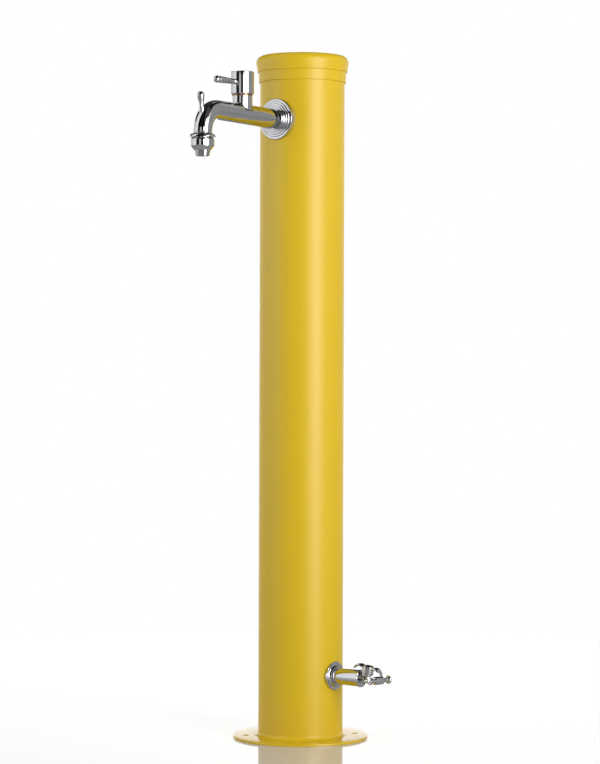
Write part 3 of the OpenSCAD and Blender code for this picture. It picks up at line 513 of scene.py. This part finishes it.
SEAL_T, TAP_BORE_R = 0.8, 10.3
ROSETTE_R, ROSETTE_RIM, ROSETTE_FACE, ROSETTE_EDGE, ROSETTE_ROUND = 26.2, 57.3, 58.0, 0.7, 0.35
STEPS, STEP_R, STEP_IN, STEP_UP, STEP_LIP, STEP_GROOVE, STEP_RAMP = 4, 22.6, 2.9, 0.9, 0.5, 0.4, 0.45
rosette_rows = [(TAP_BORE_R, 0), (ROSETTE_R, 0), (ROSETTE_R, ROSETTE_RIM),
                (ROSETTE_R - ROSETTE_EDGE, ROSETTE_FACE)]
for step in range(STEPS):
    edge, face = STEP_R - STEP_IN * step, ROSETTE_FACE + STEP_UP * step
    rosette_rows += [(edge + STEP_LIP, face), (edge, face - STEP_GROOVE), (edge - STEP_RAMP, face + STEP_UP)]
rosette_rows += [(TAP_BORE_R, ROSETTE_FACE + STEP_UP * STEPS)]
rosette_rows = softened(rosette_rows, ROSETTE_ROUND)
chromed("bucket_tap_rosette", [turned(rosette_rows, UPPER @ OUTWARD, spin=160, seat=POST_R + SEAL_T)],
        ["upper_rosette"])
dress(gasket_rubber, "upper_rosette_seal")


# Bucket tap, casting: one piece of chromed brass. A tail goes through the wall to a necked shoulder,
# a slightly tapered shank climbs a little, and a bend of about a quarter turn ends in the spout.
# The column that holds the valve stands on the shank in a cast fillet.
TAIL_R, TAIL_FROM, NECK_FROM, NECK_R, NECK_EASE = 10.25, 20, 61, 11, 0.6
SHANK_X, SHANK_R, SHANK_TAPER, RISE = 71.1, 13, 0.8, math.radians(1.3)
SHOULDER_LEN, SHOULDER_OUT, SHANK_SINK = 7, 2.16, 0.4
BEND_X, BEND_R, BEND_TAPER, LEAN = 176.98, 27.5, 0.4, 6
SPOUT_X, SPOUT_END, SPOUT_R, SPOUT_EDGE, SPOUT_LIP = 205, -28.61, 11.75, 0.45, 0.5
RUN_SINK, SHANK_STOPS, BEND_STOPS, RUN_SIDES = 1, 24, 30, 96
COLUMN_X, COLUMN_R, COLUMN_TOP, COLUMN_EDGE = 126, 12.8, 24.2, 0.3
FOOT_FILLET, FOOT_SINK, FOOT_HALF_W, FOOT_SIDE_SHARE = 2.2, 0.4, 11.7, 0.35

bend_start = BEND_X - BEND_R * math.sin(RISE)
bend_low = (bend_start - SHANK_X) * math.tan(RISE) - BEND_R * math.cos(RISE)
bend_from = 90 + math.degrees(RISE)
run = []
for k in range(SHANK_STOPS + 1):
    t = k / SHANK_STOPS
    run.append((SHANK_X - RUN_SINK + (bend_start - SHANK_X + RUN_SINK) * t,
                (bend_start - SHANK_X) * math.tan(RISE) * t, SHANK_R - SHANK_TAPER * t))
for k in range(1, BEND_STOPS + 1):
    t = k / BEND_STOPS
    a = math.radians(bend_from + (LEAN - bend_from) * t)
    run.append((BEND_X + BEND_R * math.cos(a), bend_low + BEND_R * math.sin(a),
                SHANK_R - SHANK_TAPER - BEND_TAPER * t))
run += [(SPOUT_X, SPOUT_END + SPOUT_LIP, SPOUT_R), (SPOUT_X, SPOUT_END, SPOUT_R - SPOUT_EDGE)]

sweep = bpy.data.node_groups.new("swept_run", "GeometryNodeTree")
nodes, given = inputs(sweep, ("Sides", "Int"), ("Material", "Material"))
path = nodes.add("GeometryNodeMeshToCurve", None, {"Mesh": given.output("Geometry")})
width = nodes.add("GeometryNodeInputNamedAttribute", {"data_type": "FLOAT"}, {"Name": "width"})
round_bar = nodes.add("GeometryNodeCurvePrimitiveCircle", None, {
    "Resolution": given.output("Sides"), "Radius": 1.0})
skin = nodes.add("GeometryNodeCurveToMesh", None, {
    "Curve": path, "Profile Curve": round_bar, "Scale": width.output("Attribute"), "Fill Caps": True})
smooth = nodes.add("GeometryNodeSetShadeSmooth", None, {"Geometry": skin})
handed_over(nodes, smooth, given.output("Material"))

run_mesh = bpy.data.meshes.new("run")
run_mesh.from_pydata([UPPER @ Vector((x * MM, 0, z * MM)) for x, z, r in run],
                     [(k, k + 1) for k in range(len(run) - 1)], [])
run_mesh.attributes.new("width", "FLOAT", "POINT").data.foreach_set("value", [r * MM for x, z, r in run])
swept = bpy.data.objects.new("run", run_mesh)
bpy.context.collection.objects.link(swept)
grown(swept, sweep, {"Sides": RUN_SIDES, "Material": chrome_plate})
run_shell = bmesh.new()
run_shell.from_mesh(swept.data)
bpy.data.objects.remove(swept)

neck_rows = [(0, TAIL_FROM), (TAIL_R, TAIL_FROM), (TAIL_R, NECK_FROM), (NECK_R, NECK_FROM + NECK_EASE),
             (NECK_R, SHANK_X - SHOULDER_LEN)]
neck_rows += arc((NECK_R, SHANK_X), (SHOULDER_OUT, SHOULDER_LEN), -81, 0, 9)
neck_rows += [(SHANK_R - SHANK_SINK, SHANK_X + SHANK_SINK), (0, SHANK_X + SHANK_SINK)]


def shank_top(y):
    """Height of the shank's skin beside the column, y off its middle."""
    radius = SHANK_R - SHANK_TAPER * (COLUMN_X - SHANK_X) / (bend_start - SHANK_X)
    return (COLUMN_X - SHANK_X) * math.tan(RISE) + math.sqrt(max(radius * radius - y * y, 0))


def skinned(shell, rings):
    """Closes a shell over its rings, with a face at each end."""
    for low, high in zip(rings, rings[1:]):
        for k in range(len(low)):
            on = (k + 1) % len(low)
            shell.faces.new([low[k], low[on], high[on], high[k]])
    shell.faces.new(rings[-1])
    shell.faces.new(list(reversed(rings[0])))
    return shell


def column(spin=128, steps=8):
    """The column, with a cast fillet where it stands on the shank."""
    shell = bmesh.new()
    ways = [2 * math.pi * k / spin for k in range(spin)]

    def corner(reach, way, z):
        x, y = COLUMN_X + reach * math.cos(way), reach * math.sin(way)
        return shell.verts.new(UPPER @ Vector((x * MM, y * MM, z * MM)))

    rings = []
    for level in range(steps + 1):
        a = math.radians(90 * level / steps)
        ring = []
        for way in ways:
            side_share = FOOT_SIDE_SHARE + (1 - FOOT_SIDE_SHARE) * abs(math.cos(way))
            reach = COLUMN_R + FOOT_FILLET * (1 - math.sin(a)) * side_share
            y = min(max(reach * math.sin(way), -FOOT_HALF_W), FOOT_HALF_W)
            ring.append(corner(reach, way, shank_top(y) - FOOT_SINK + FOOT_FILLET * (1 - math.cos(a))))
        rings.append(ring)
    for inset in (0, COLUMN_EDGE):
        rings.append([corner(COLUMN_R - inset, way, COLUMN_TOP - COLUMN_EDGE + inset) for way in ways])
    return skinned(shell, rings)


chromed("bucket_tap_casting", [turned(neck_rows, UPPER @ OUTWARD), run_shell, column()], ["upper_tap_body"])


# Bucket hook: a turned horn soldered on the outside of the bend, which keeps a bucket's bail on
# the spout. It is waisted above its root and ends in a long rounded tip.
HOOK_X, HOOK_LEAN, HOOK_SINK, HOOK_ROOT_R = 206.6, math.radians(6.5), 4, 3.6
HOOK_STEM = [(3.5, 3), (3.1, 5), (2.98, 7.5), (3.15, 10), (3.62, 11.8), (4.25, 13.8), (4.58, 15.9)]
HOOK_TIP_R, HOOK_TIP_Z = 4.8, 18.5
HOOK = UPPER @ Matrix.Translation((HOOK_X * MM, 0, 0)) @ Matrix.Rotation(HOOK_LEAN, 4, "Y")
hook_rows = [(0, -HOOK_SINK), (HOOK_ROOT_R, -HOOK_SINK)] + HOOK_STEM
hook_rows += arc((0, HOOK_TIP_Z), (HOOK_TIP_R, HOOK_TIP_R), 0, 90, 10)
chromed("hook_horn", [turned(hook_rows, HOOK, spin=96)], ["bucket_hook"], crease=60)


# Bucket tap, handle: a drum-shaped cap that hides the cartridge's hexagon. A thin bare brass ring
# shows below it, a domed button closes its screw, and a turned lever is screwed in its side.
BRASS_DEEP, BRASS_PALE = tone(150, 100, 46), tone(186, 138, 72)
turned_brass, nodes = finish("turned_brass")
rub = nodes.noise(scale=120.0, detail=3.0, stretch=(1, 1, 9))
shaded(nodes, {
    "Base Color": nodes.blend(rub, BRASS_DEEP, BRASS_PALE),
    "Metallic": 1.0,
    "Roughness": 0.2 + rub * 0.16,
    "Normal": nodes.bumped(rub, strength=0.15, depth=GRAIN_DEEP * MM)})

COLUMN = UPPER @ Matrix.Translation((COLUMN_X * MM, 0, 0))
RING_BORE_R, RING_R, RING_T, RING_ROUND, RING_GAP = 9.05, 13.3, 1.4, 0.3, 0.3
brass_rows = softened(tube(RING_BORE_R, RING_R, COLUMN_TOP, COLUMN_TOP + RING_T), RING_ROUND, ring=True)
piece("brass_ring", [turned(brass_rows, COLUMN)], turned_brass, "brass", ["gland_ring"])

DRUM_R, DRUM_TOP, DRUM_BORE_R, DRUM_ROOF, DRUM_ROUND = 14.8, 54.5, 11, 43.5, 0.9
WELL_R, WELL_FLARE, WELL_STEP, WELL_FLOOR, WELL_NECK = 4.0, 0.1, 0.25, 53.3, 54.0
drum_foot = COLUMN_TOP + RING_T + RING_GAP
drum_rows = [(0, DRUM_ROOF), (DRUM_BORE_R, DRUM_ROOF), (DRUM_BORE_R, drum_foot), (DRUM_R, drum_foot),
             (DRUM_R, DRUM_TOP), (WELL_R + WELL_FLARE, DRUM_TOP), (WELL_R, WELL_NECK),
             (WELL_R - WELL_STEP, WELL_NECK), (WELL_R - WELL_STEP, WELL_FLOOR), (0, WELL_FLOOR)]
chromed("handle_drum", [turned(softened(drum_rows, DRUM_ROUND), COLUMN)], ["upper_handle_cap"],
        body="bucket_handle")

BUTTON_R, BUTTON_DOME = 3.7, 1.8
button_rows = [(0, WELL_FLOOR), (BUTTON_R, WELL_FLOOR), (BUTTON_R, DRUM_TOP)]
button_rows += arc((0, DRUM_TOP), (BUTTON_R, BUTTON_DOME), 10, 90, 10)
chromed("handle_cap_button", [turned(button_rows, COLUMN, spin=96)], ["handle_button"],
        body="bucket_handle", crease=60)

LEVER_Z, LEVER_FROM, LEVER_END, LEVER_ROOT_R, BALL_R, BALL_X = 40.9, 12.6, 55.3, 3.1, 4.52, 50.8
LEVER_STEM = [(3.25, 14), (3.3, 16.5), (4.3, 44.6), (4.3, 46.4), (4.1, 47.0), (3.6, 47.9), (3.65, 48.3)]
LEVER = COLUMN @ Matrix.Translation((0, 0, LEVER_Z * MM)) @ OUTWARD
lever_rows = [(0, LEVER_FROM), (LEVER_ROOT_R, LEVER_FROM)] + LEVER_STEM
lever_rows += arc((0, BALL_X), (BALL_R, BALL_R), -35, 82, 9) + [(0, LEVER_END)]
chromed("handle_lever", [turned(lever_rows, LEVER, spin=96)], ["upper_lever"],
        body="bucket_handle", crease=40)


# Outlet: a thin pressed splash skirt clamped between the spout and a round-edged collar nut. Under
# the collar is the nozzle, which holds an aerator of dark plastic with rings of small holes.
SPOUT = UPPER @ Matrix.Translation((SPOUT_X * MM, 0, 0))
SKIRT_BORE_R, SKIRT_FROM_R, SKIRT_W, SKIRT_DROP, SKIRT_T = 9.55, 11.3, 5.5, 4.6, 1
skirt_rows = [(SKIRT_BORE_R, SPOUT_END), (SKIRT_FROM_R, SPOUT_END)]
skirt_rows += arc((SKIRT_FROM_R, SPOUT_END - SKIRT_DROP), (SKIRT_W, SKIRT_DROP), 81, 0, -9)
skirt_rows += arc((SKIRT_FROM_R, SPOUT_END - SKIRT_DROP), (SKIRT_W - SKIRT_T, SKIRT_DROP - SKIRT_T), 0, 90, 9)
skirt_rows += [(SKIRT_BORE_R, SPOUT_END - SKIRT_T)]
chromed("skirt", [turned(skirt_rows, SPOUT)], ["splash_skirt"], crease=50)

COLLAR_DROP, COLLAR_H, COLLAR_MID_R, COLLAR_ROUND, COLLAR_FOOT, COLLAR_FOOT_R = 5.6, 12, 12.3, 2.6, 21, 10.5
collar_top = SPOUT_END - COLLAR_DROP
collar_low = collar_top - COLLAR_H
collar_rows = [(SKIRT_BORE_R, SPOUT_END - COLLAR_FOOT), (SKIRT_BORE_R, SPOUT_END - SKIRT_T),
               (SKIRT_FROM_R, SPOUT_END - SKIRT_T), (SKIRT_FROM_R, collar_top)]
collar_rows += arc((COLLAR_MID_R, collar_top - COLLAR_ROUND), (COLLAR_ROUND, COLLAR_ROUND), 90, 0, -10)
collar_rows += arc((COLLAR_MID_R, collar_low + COLLAR_ROUND), (COLLAR_ROUND, COLLAR_ROUND), 0, -50, -10)
collar_rows += [(COLLAR_FOOT_R, SPOUT_END - COLLAR_FOOT)]
chromed("collar_nut", [turned(collar_rows, SPOUT)], ["outlet_collar"], crease=40)

NOZZLE_BORE_R, NOZZLE_R, NOZZLE_LIP_R, NOZZLE_WAIST_R, MOUTH_R = 6, 9.5, 10.2, 9.33, 8.9
MOUTH_BORE_R, NOZZLE_FROM, NOZZLE_WAIST, NOZZLE_SHELF, NOZZLE_END = 7.7, 12.6, 24.5, 23.9, 28
NOZZLE_ROUND, AERATOR_ROUND = 0.35, 0.15


def under_spout(rows):
    """(radius, drop) rows as (radius, height) rows below the spout's end."""
    return [(radius, SPOUT_END - drop) for radius, drop in rows]


nozzle_rows = under_spout([(NOZZLE_BORE_R, NOZZLE_FROM), (NOZZLE_R, NOZZLE_FROM), (NOZZLE_R, COLLAR_FOOT),
                           (NOZZLE_LIP_R, COLLAR_FOOT), (NOZZLE_WAIST_R, NOZZLE_WAIST), (MOUTH_R, NOZZLE_END),
                           (MOUTH_BORE_R, NOZZLE_END), (MOUTH_BORE_R, NOZZLE_SHELF),
                           (NOZZLE_BORE_R, NOZZLE_SHELF)])
chromed("nozzle", [turned(softened(nozzle_rows, NOZZLE_ROUND, ring=True), SPOUT)], ["outlet_nozzle"])

aerator_plastic, nodes = finish("aerator_plastic")
fleck = nodes.noise(scale=900.0)
shaded(nodes, {
    "Base Color": nodes.blend(fleck, grey(0.02), grey(0.04)),
    "Roughness": 0.42 + fleck * 0.15,
    "Normal": nodes.bumped(fleck, strength=0.1, depth=GRAIN_DEEP * MM)})
dress(aerator_plastic, "aerator_insert")
AERATOR_FACE, AERATOR_RIM, RIM_R, RIM_IN_R, RIM_MOUTH_R = 26.8, 27.95, 7.65, 6.5, 6.9
rim_rows = under_spout([(RIM_IN_R, AERATOR_FACE), (RIM_MOUTH_R, AERATOR_RIM),
                        (RIM_R, AERATOR_RIM), (RIM_R, AERATOR_FACE)])
piece("aerator_rim", [turned(softened(rim_rows, AERATOR_ROUND, ring=True), SPOUT, spin=96)],
      aerator_plastic, "grey_plastic")

# Ring k of the jets holds 6k of them, so jet n lies in the ring where 3k(k + 1) first reaches n.
JET_RINGS, JET_PITCH, JET_R, JET_LIP_R, JET_DROP = 2, MOUTH_BORE_R / 3, 1.0, 0.22, 26.9
jets = bpy.data.node_groups.new("aerator_jets", "GeometryNodeTree")
nodes, given = inputs(jets, ("Rings", "Int"), ("Pitch", "Float"), ("Jet", "Float"), ("Rim", "Float"),
                      ("Drop", "Vector"), ("Material", "Material"))
hole = nodes.add("GeometryNodeCurvePrimitiveCircle", None, {"Resolution": 24, "Radius": given.output("Jet")})
bead = nodes.add("GeometryNodeCurvePrimitiveCircle", None, {"Resolution": 8, "Radius": given.output("Rim")})
lip = nodes.add("GeometryNodeCurveToMesh", None, {"Curve": hole, "Profile Curve": bead})
grid = nodes.add("GeometryNodePoints", None, {
    "Count": given.output("Rings") * (given.output("Rings") + 1) * 3.0 + 1.0})
number = nodes.add("GeometryNodeInputIndex")
ring_number = nodes.maths("CEIL", (nodes.maths("SQRT", 9.0 + number * 12.0) - 3.001) / 6.0)
first = ring_number * (ring_number - 1) * 3.0 + 1.0
way = (number - first) * (math.pi / 3) / nodes.maths("MAXIMUM", ring_number, 1.0)
reach = ring_number * given.output("Pitch")
jets_at = nodes.add("ShaderNodeCombineXYZ", None, {
    "X": reach * nodes.maths("COSINE", way), "Y": reach * nodes.maths("SINE", way)})
placed = nodes.add("GeometryNodeSetPosition", None, {"Geometry": grid, "Position": jets_at})
copies = nodes.add("GeometryNodeInstanceOnPoints", None, {"Points": placed, "Instance": lip})
lowered = nodes.add("GeometryNodeTransform", None, {"Geometry": copies, "Translation": given.output("Drop")})
handed_over(nodes, lowered, given.output("Material"))
piece("aerator_jet_rims", [bmesh.new()], aerator_plastic, "grey_plastic", crease=60, grow=(jets, {
    "Rings": JET_RINGS, "Pitch": JET_PITCH * MM, "Jet": JET_R * MM, "Rim": JET_LIP_R * MM,
    "Drop": tuple(SPOUT @ Vector((0, 0, (SPOUT_END - JET_DROP) * MM))), "Material": aerator_plastic}))
dress(gasket_rubber, "outlet_washer")


# Hose tap, rosette and sleeve: a small chromed rosette with a rim, a dished groove and an inner
# ring, and the long sleeve that carries the tap out from the post.
SMALL_R, SMALL_RIM, SMALL_EDGE, SMALL_BOSS, SMALL_ROUND = 18.4, 56.3, 0.5, 59.2, 0.3
DISH_FROM_R, DISH_TO_R, DISH_LIFT, DISH_DEEP, DISH_STOPS = 16.4, 12.25, 2.4, 1.0, 6
small_face = SMALL_RIM + SMALL_EDGE
small_rows = [(TAP_BORE_R, 0), (SMALL_R, 0), (SMALL_R, SMALL_RIM), (SMALL_R - SMALL_EDGE, small_face),
              (DISH_FROM_R, small_face)]
for k in range(1, DISH_STOPS):
    t = k / DISH_STOPS
    small_rows.append((DISH_FROM_R - (DISH_FROM_R - DISH_TO_R) * t,
                       small_face - DISH_DEEP * math.sin(math.pi * t) + DISH_LIFT * t * t))
small_rows += [(DISH_TO_R, SMALL_BOSS), (TAP_BORE_R, SMALL_BOSS)]
small_rows = softened(small_rows, SMALL_ROUND)
chromed("hose_tap_rosette", [turned(small_rows, LOWER @ OUTWARD, seat=POST_R + SEAL_T)], ["lower_rosette"])
dress(gasket_rubber, "lower_rosette_seal")

REACH, RING_LEN, SLEEVE_BORE_R, SLEEVE_R, SLEEVE_ROUND = 98.6, 3.6, 6, 10.65, 0.25
SOCKET_R, SOCKET_DEEP = 8.05, 10
sleeve_end = REACH - RING_LEN
sleeve_rows = [(SLEEVE_BORE_R, TAIL_FROM), (TAIL_R, TAIL_FROM), (TAIL_R, SMALL_BOSS), (SLEEVE_R, SMALL_BOSS),
               (SLEEVE_R, sleeve_end), (SOCKET_R, sleeve_end), (SOCKET_R, sleeve_end - SOCKET_DEEP),
               (SLEEVE_BORE_R, sleeve_end - SOCKET_DEEP)]
chromed("hose_tap_sleeve", [turned(softened(sleeve_rows, SLEEVE_ROUND, ring=True), LOWER @ OUTWARD)],
        ["lower_sleeve"])
dress(gasket_rubber, "sleeve_oring")


# Hose tap, body: a ringed front with a cupped face, cast with a short threaded outlet in front of
# it that rises and leans ten degrees forward. A spring ring keeps the wing nut on the outlet.
SPIGOT_R, SPIGOT_LEN, END_R, END_EDGE, END_ROUND = 8, 9, 11.5, 0.6, 0.3
CUP_R, CUP_STEP, CUP_DEEP = 10.0, 1.2, 1.2
NOSE_R, NOSE_LEN, NOSE_EDGE, NOSE_TAPER, NOSE_ROUND, NOSE_Z, NOSE_SINK = 3.2, 8.6, 1, 0.8, 0.5, 4.7, 3
ring_rows = [(0, sleeve_end - SPIGOT_LEN), (SPIGOT_R, sleeve_end - SPIGOT_LEN), (SPIGOT_R, sleeve_end),
             (END_R - END_EDGE, sleeve_end), (END_R, sleeve_end + END_EDGE), (END_R, REACH - END_EDGE),
             (END_R - END_EDGE, REACH), (CUP_R, REACH), (CUP_R - CUP_STEP, REACH - CUP_DEEP),
             (0, REACH - CUP_DEEP)]
nose_rows = [(0, REACH - NOSE_SINK), (NOSE_R, REACH - NOSE_SINK), (NOSE_R, REACH + NOSE_LEN - NOSE_EDGE),
             (NOSE_R - NOSE_TAPER, REACH + NOSE_LEN), (0, REACH + NOSE_LEN)]

BRANCH_OUT, BRANCH_Z, BRANCH_LEAN = 8.2, 4, math.radians(10)
BRANCH_R, BRANCH_BORE_R, BRANCH_FLOOR, BRANCH_FOOT, BRANCH_EDGE = 6, 3.6, 1.2, 0.8, 0.5
SEAT_R, SEAT_FROM, SEAT_TO, SEAT_EDGE, MOUTH_WIDER, MOUTH_DEEP = 7.5, 2, 3, 0.2, 0.3, 0.4
NUT_GAP, NUT_H, CLIP_T, CLIP_R, CLIP_ROUND, THREAD_PAST = 0.16, 8.8, 0.8, 7.1, 0.25, 0.3
BRANCH = (LOWER @ Matrix.Translation(((REACH + BRANCH_OUT) * MM, 0, BRANCH_Z * MM))
          @ Matrix.Rotation(BRANCH_LEAN, 4, "Y"))
nut_low = SEAT_TO + NUT_GAP
nut_top = nut_low + NUT_H
clip_low = nut_top + NUT_GAP
branch_top = clip_low + CLIP_T + THREAD_PAST
branch_rows = [(0, 0), (BRANCH_R - BRANCH_FOOT, 0), (BRANCH_R, BRANCH_FOOT), (BRANCH_R, SEAT_FROM),
               (SEAT_R - SEAT_EDGE, SEAT_FROM), (SEAT_R, SEAT_FROM + SEAT_EDGE), (SEAT_R, SEAT_TO),
               (BRANCH_R, SEAT_TO), (BRANCH_R, branch_top - BRANCH_EDGE),
               (BRANCH_R - BRANCH_EDGE, branch_top), (BRANCH_BORE_R + MOUTH_WIDER, branch_top),
               (BRANCH_BORE_R, branch_top - MOUTH_DEEP), (BRANCH_BORE_R, BRANCH_FLOOR), (0, BRANCH_FLOOR)]
NOSE = LOWER @ Matrix.Translation((0, 0, NOSE_Z * MM)) @ OUTWARD
chromed("hose_tap_body", [turned(softened(ring_rows, END_ROUND), LOWER @ OUTWARD),
                          turned(softened(nose_rows, NOSE_ROUND), NOSE, spin=64),
                          turned(branch_rows, BRANCH, spin=96)], ["lower_valve_body"])
clip_rows = softened(tube(BRANCH_R, CLIP_R, clip_low, clip_low + CLIP_T), CLIP_ROUND, ring=True)
chromed("nut_clip", [turned(clip_rows, BRANCH, spin=64)], ["wing_nut_clip"])


# Hose tap, lever: a thin spindle leaves the lower half of the front face, and the turned lever
# sits on it by a boss. The lever has a round hub, a thin neck, a grip and a bead.
LEVER_DROP, SPINDLE_R, SPINDLE_TIP_R, SPINDLE_FROM = 2.8, 2.4, 1.8, 9
HUB_R, HUB_HALF, HUB_OUT, HUB_TOP_R, HUB_FOOT_R = 4.95, 1.5, 12.75, 4.2, 4.0
BOSS_R, BOSS_GAP, BOSS_IN, ROD_TURN, ROD_ROUND = 2.9, 1.5, 2.5, math.radians(73), 0.3
ROD_STEM = [(2.8, 1.7), (2.8, 6.3), (4.9, 6.5), (5.3, 7.0), (5.3, 19.4), (4.7, 20.4), (3.4, 20.5),
            (2.8, 20.7), (2.8, 26.2)]
BEAD_R, BEAD_HALF, BEAD_X = 5.5, 3.4, 29.6
DROP = LOWER @ Matrix.Translation((0, 0, -LEVER_DROP * MM))
hub_x = REACH + HUB_OUT
spindle_rows = [(0, REACH - SPINDLE_FROM), (SPINDLE_R, REACH - SPINDLE_FROM), (SPINDLE_R, REACH + BOSS_GAP),
                (SPINDLE_TIP_R, REACH + BOSS_GAP), (SPINDLE_TIP_R, hub_x - HUB_R), (0, hub_x - HUB_R)]
chromed("hose_spindle", [turned(spindle_rows, DROP @ OUTWARD, spin=64)], ["lower_spindle"], body="hose_lever")

rod_rows = [(0, -HUB_HALF), (HUB_FOOT_R, -HUB_HALF), (HUB_R, -HUB_HALF / 2), (HUB_R, HUB_HALF / 2),
            (HUB_TOP_R, HUB_HALF)] + ROD_STEM
rod_rows += arc((0, BEAD_X), (BEAD_R, BEAD_HALF), -60, 90, 10)
ROD = DROP @ Matrix.Translation((hub_x * MM, 0, 0)) @ Matrix.Rotation(ROD_TURN, 4, "Z") @ OUTWARD
boss_rows = cylinder(BOSS_R, REACH + BOSS_GAP, hub_x - BOSS_IN)
chromed("hose_lever_rod", [turned(softened(rod_rows, ROD_ROUND), ROD, spin=96),
                           turned(softened(boss_rows, ROD_ROUND), DROP @ OUTWARD, spin=64)],
        ["lower_lever"], body="hose_lever", crease=40)


# Wing nut: cast and chromed, with two arched wings that thin and droop towards their round tips,
# turned by hand. It clamps a hose tail on the outlet.
BARREL_R, NUT_BORE_R, BARREL_ROUND = 7.5, 6.08, 0.4
WING_ROOT, WING_TIP, CREST_X, CREST_Z, DROOP = 7.15, 21.99, 11.5, 13.7, 0.07
WING_HALF_W, WAIST_SHARE, ROUND_FROM, TIP_SHARE = 5.5, 0.7, 16.5, 0.45
WING_T, WING_THINS, THINS_FROM, THINS_OVER = 4.4, 1.7, 8, 14
SQUARE_ACROSS, SQUARE_UP = 0.7, 0.8


def wing(side, stations=24, around=32):
    """One wing, from inside the barrel's wall to its tip; side is 1 or -1."""
    shell = bmesh.new()
    rings = []
    for i in range(stations + 1):
        s = WING_ROOT + (WING_TIP - WING_ROOT) * i / stations
        crest = CREST_Z - DROOP * (s - CREST_X) ** 2
        thick = WING_T - WING_THINS * max(0, (s - THINS_FROM) / THINS_OVER)
        broad = WING_HALF_W * (WAIST_SHARE + (1 - WAIST_SHARE) * min(1, s / ROUND_FROM))
        if s > ROUND_FROM:
            past = s - ROUND_FROM
            broad = math.sqrt(max(WING_HALF_W ** 2 - past ** 2, 0.01))
            thick *= TIP_SHARE + (1 - TIP_SHARE) * math.sqrt(max(1 - (past / WING_HALF_W) ** 2, 0))
        ring = []
        for k in range(around):
            a = 2 * math.pi * k / around
            c, d = math.cos(a), math.sin(a)
            y = broad * math.copysign(abs(c) ** SQUARE_ACROSS, c)
            z = crest - thick / 2 + thick / 2 * math.copysign(abs(d) ** SQUARE_UP, d)
            hollow = max(THINS_FROM - s, 0) / (THINS_FROM - WING_ROOT)
            x = math.sqrt(s * s - y * y * hollow)
            ring.append(shell.verts.new(BRANCH @ Vector((side * x * MM, y * MM, z * MM))))
        rings.append(ring)
    return skinned(shell, rings)


barrel_rows = softened(tube(NUT_BORE_R, BARREL_R, nut_low, nut_top), BARREL_ROUND, ring=True)
chromed("wing_nut_casting", [turned(barrel_rows, BRANCH, spin=96), wing(1), wing(-1)], ["wing_nut"],
        body="hose_wing_nut", crease=50)


# Pipework inside: drawn stainless pipe and pressed plates, and machined brass fittings, seen only
# from below and through the supply opening.
drawn_steel, nodes = finish("drawn_steel")
streak = nodes.noise(scale=240.0, detail=3.0, stretch=(1, 1, 0.05))
shaded(nodes, {
    "Base Color": nodes.blend(streak, grey(0.42), grey(0.56)),
    "Metallic": 1.0,
    "Roughness": 0.28 + streak * 0.14,
    "Normal": nodes.bumped(streak, strength=0.1, depth=GRAIN_DEEP * MM)})
dress(drawn_steel, "inlet_pipe", "riser_pipe", "upper_backing_plate", "lower_backing_plate", "handle_screw")
dress(turned_brass, "supply_inlet", "lower_tee", "upper_elbow", "compression_nuts", "upper_backnut",
      "lower_backnut", "upper_cartridge", "upper_spindle", "lower_cartridge")
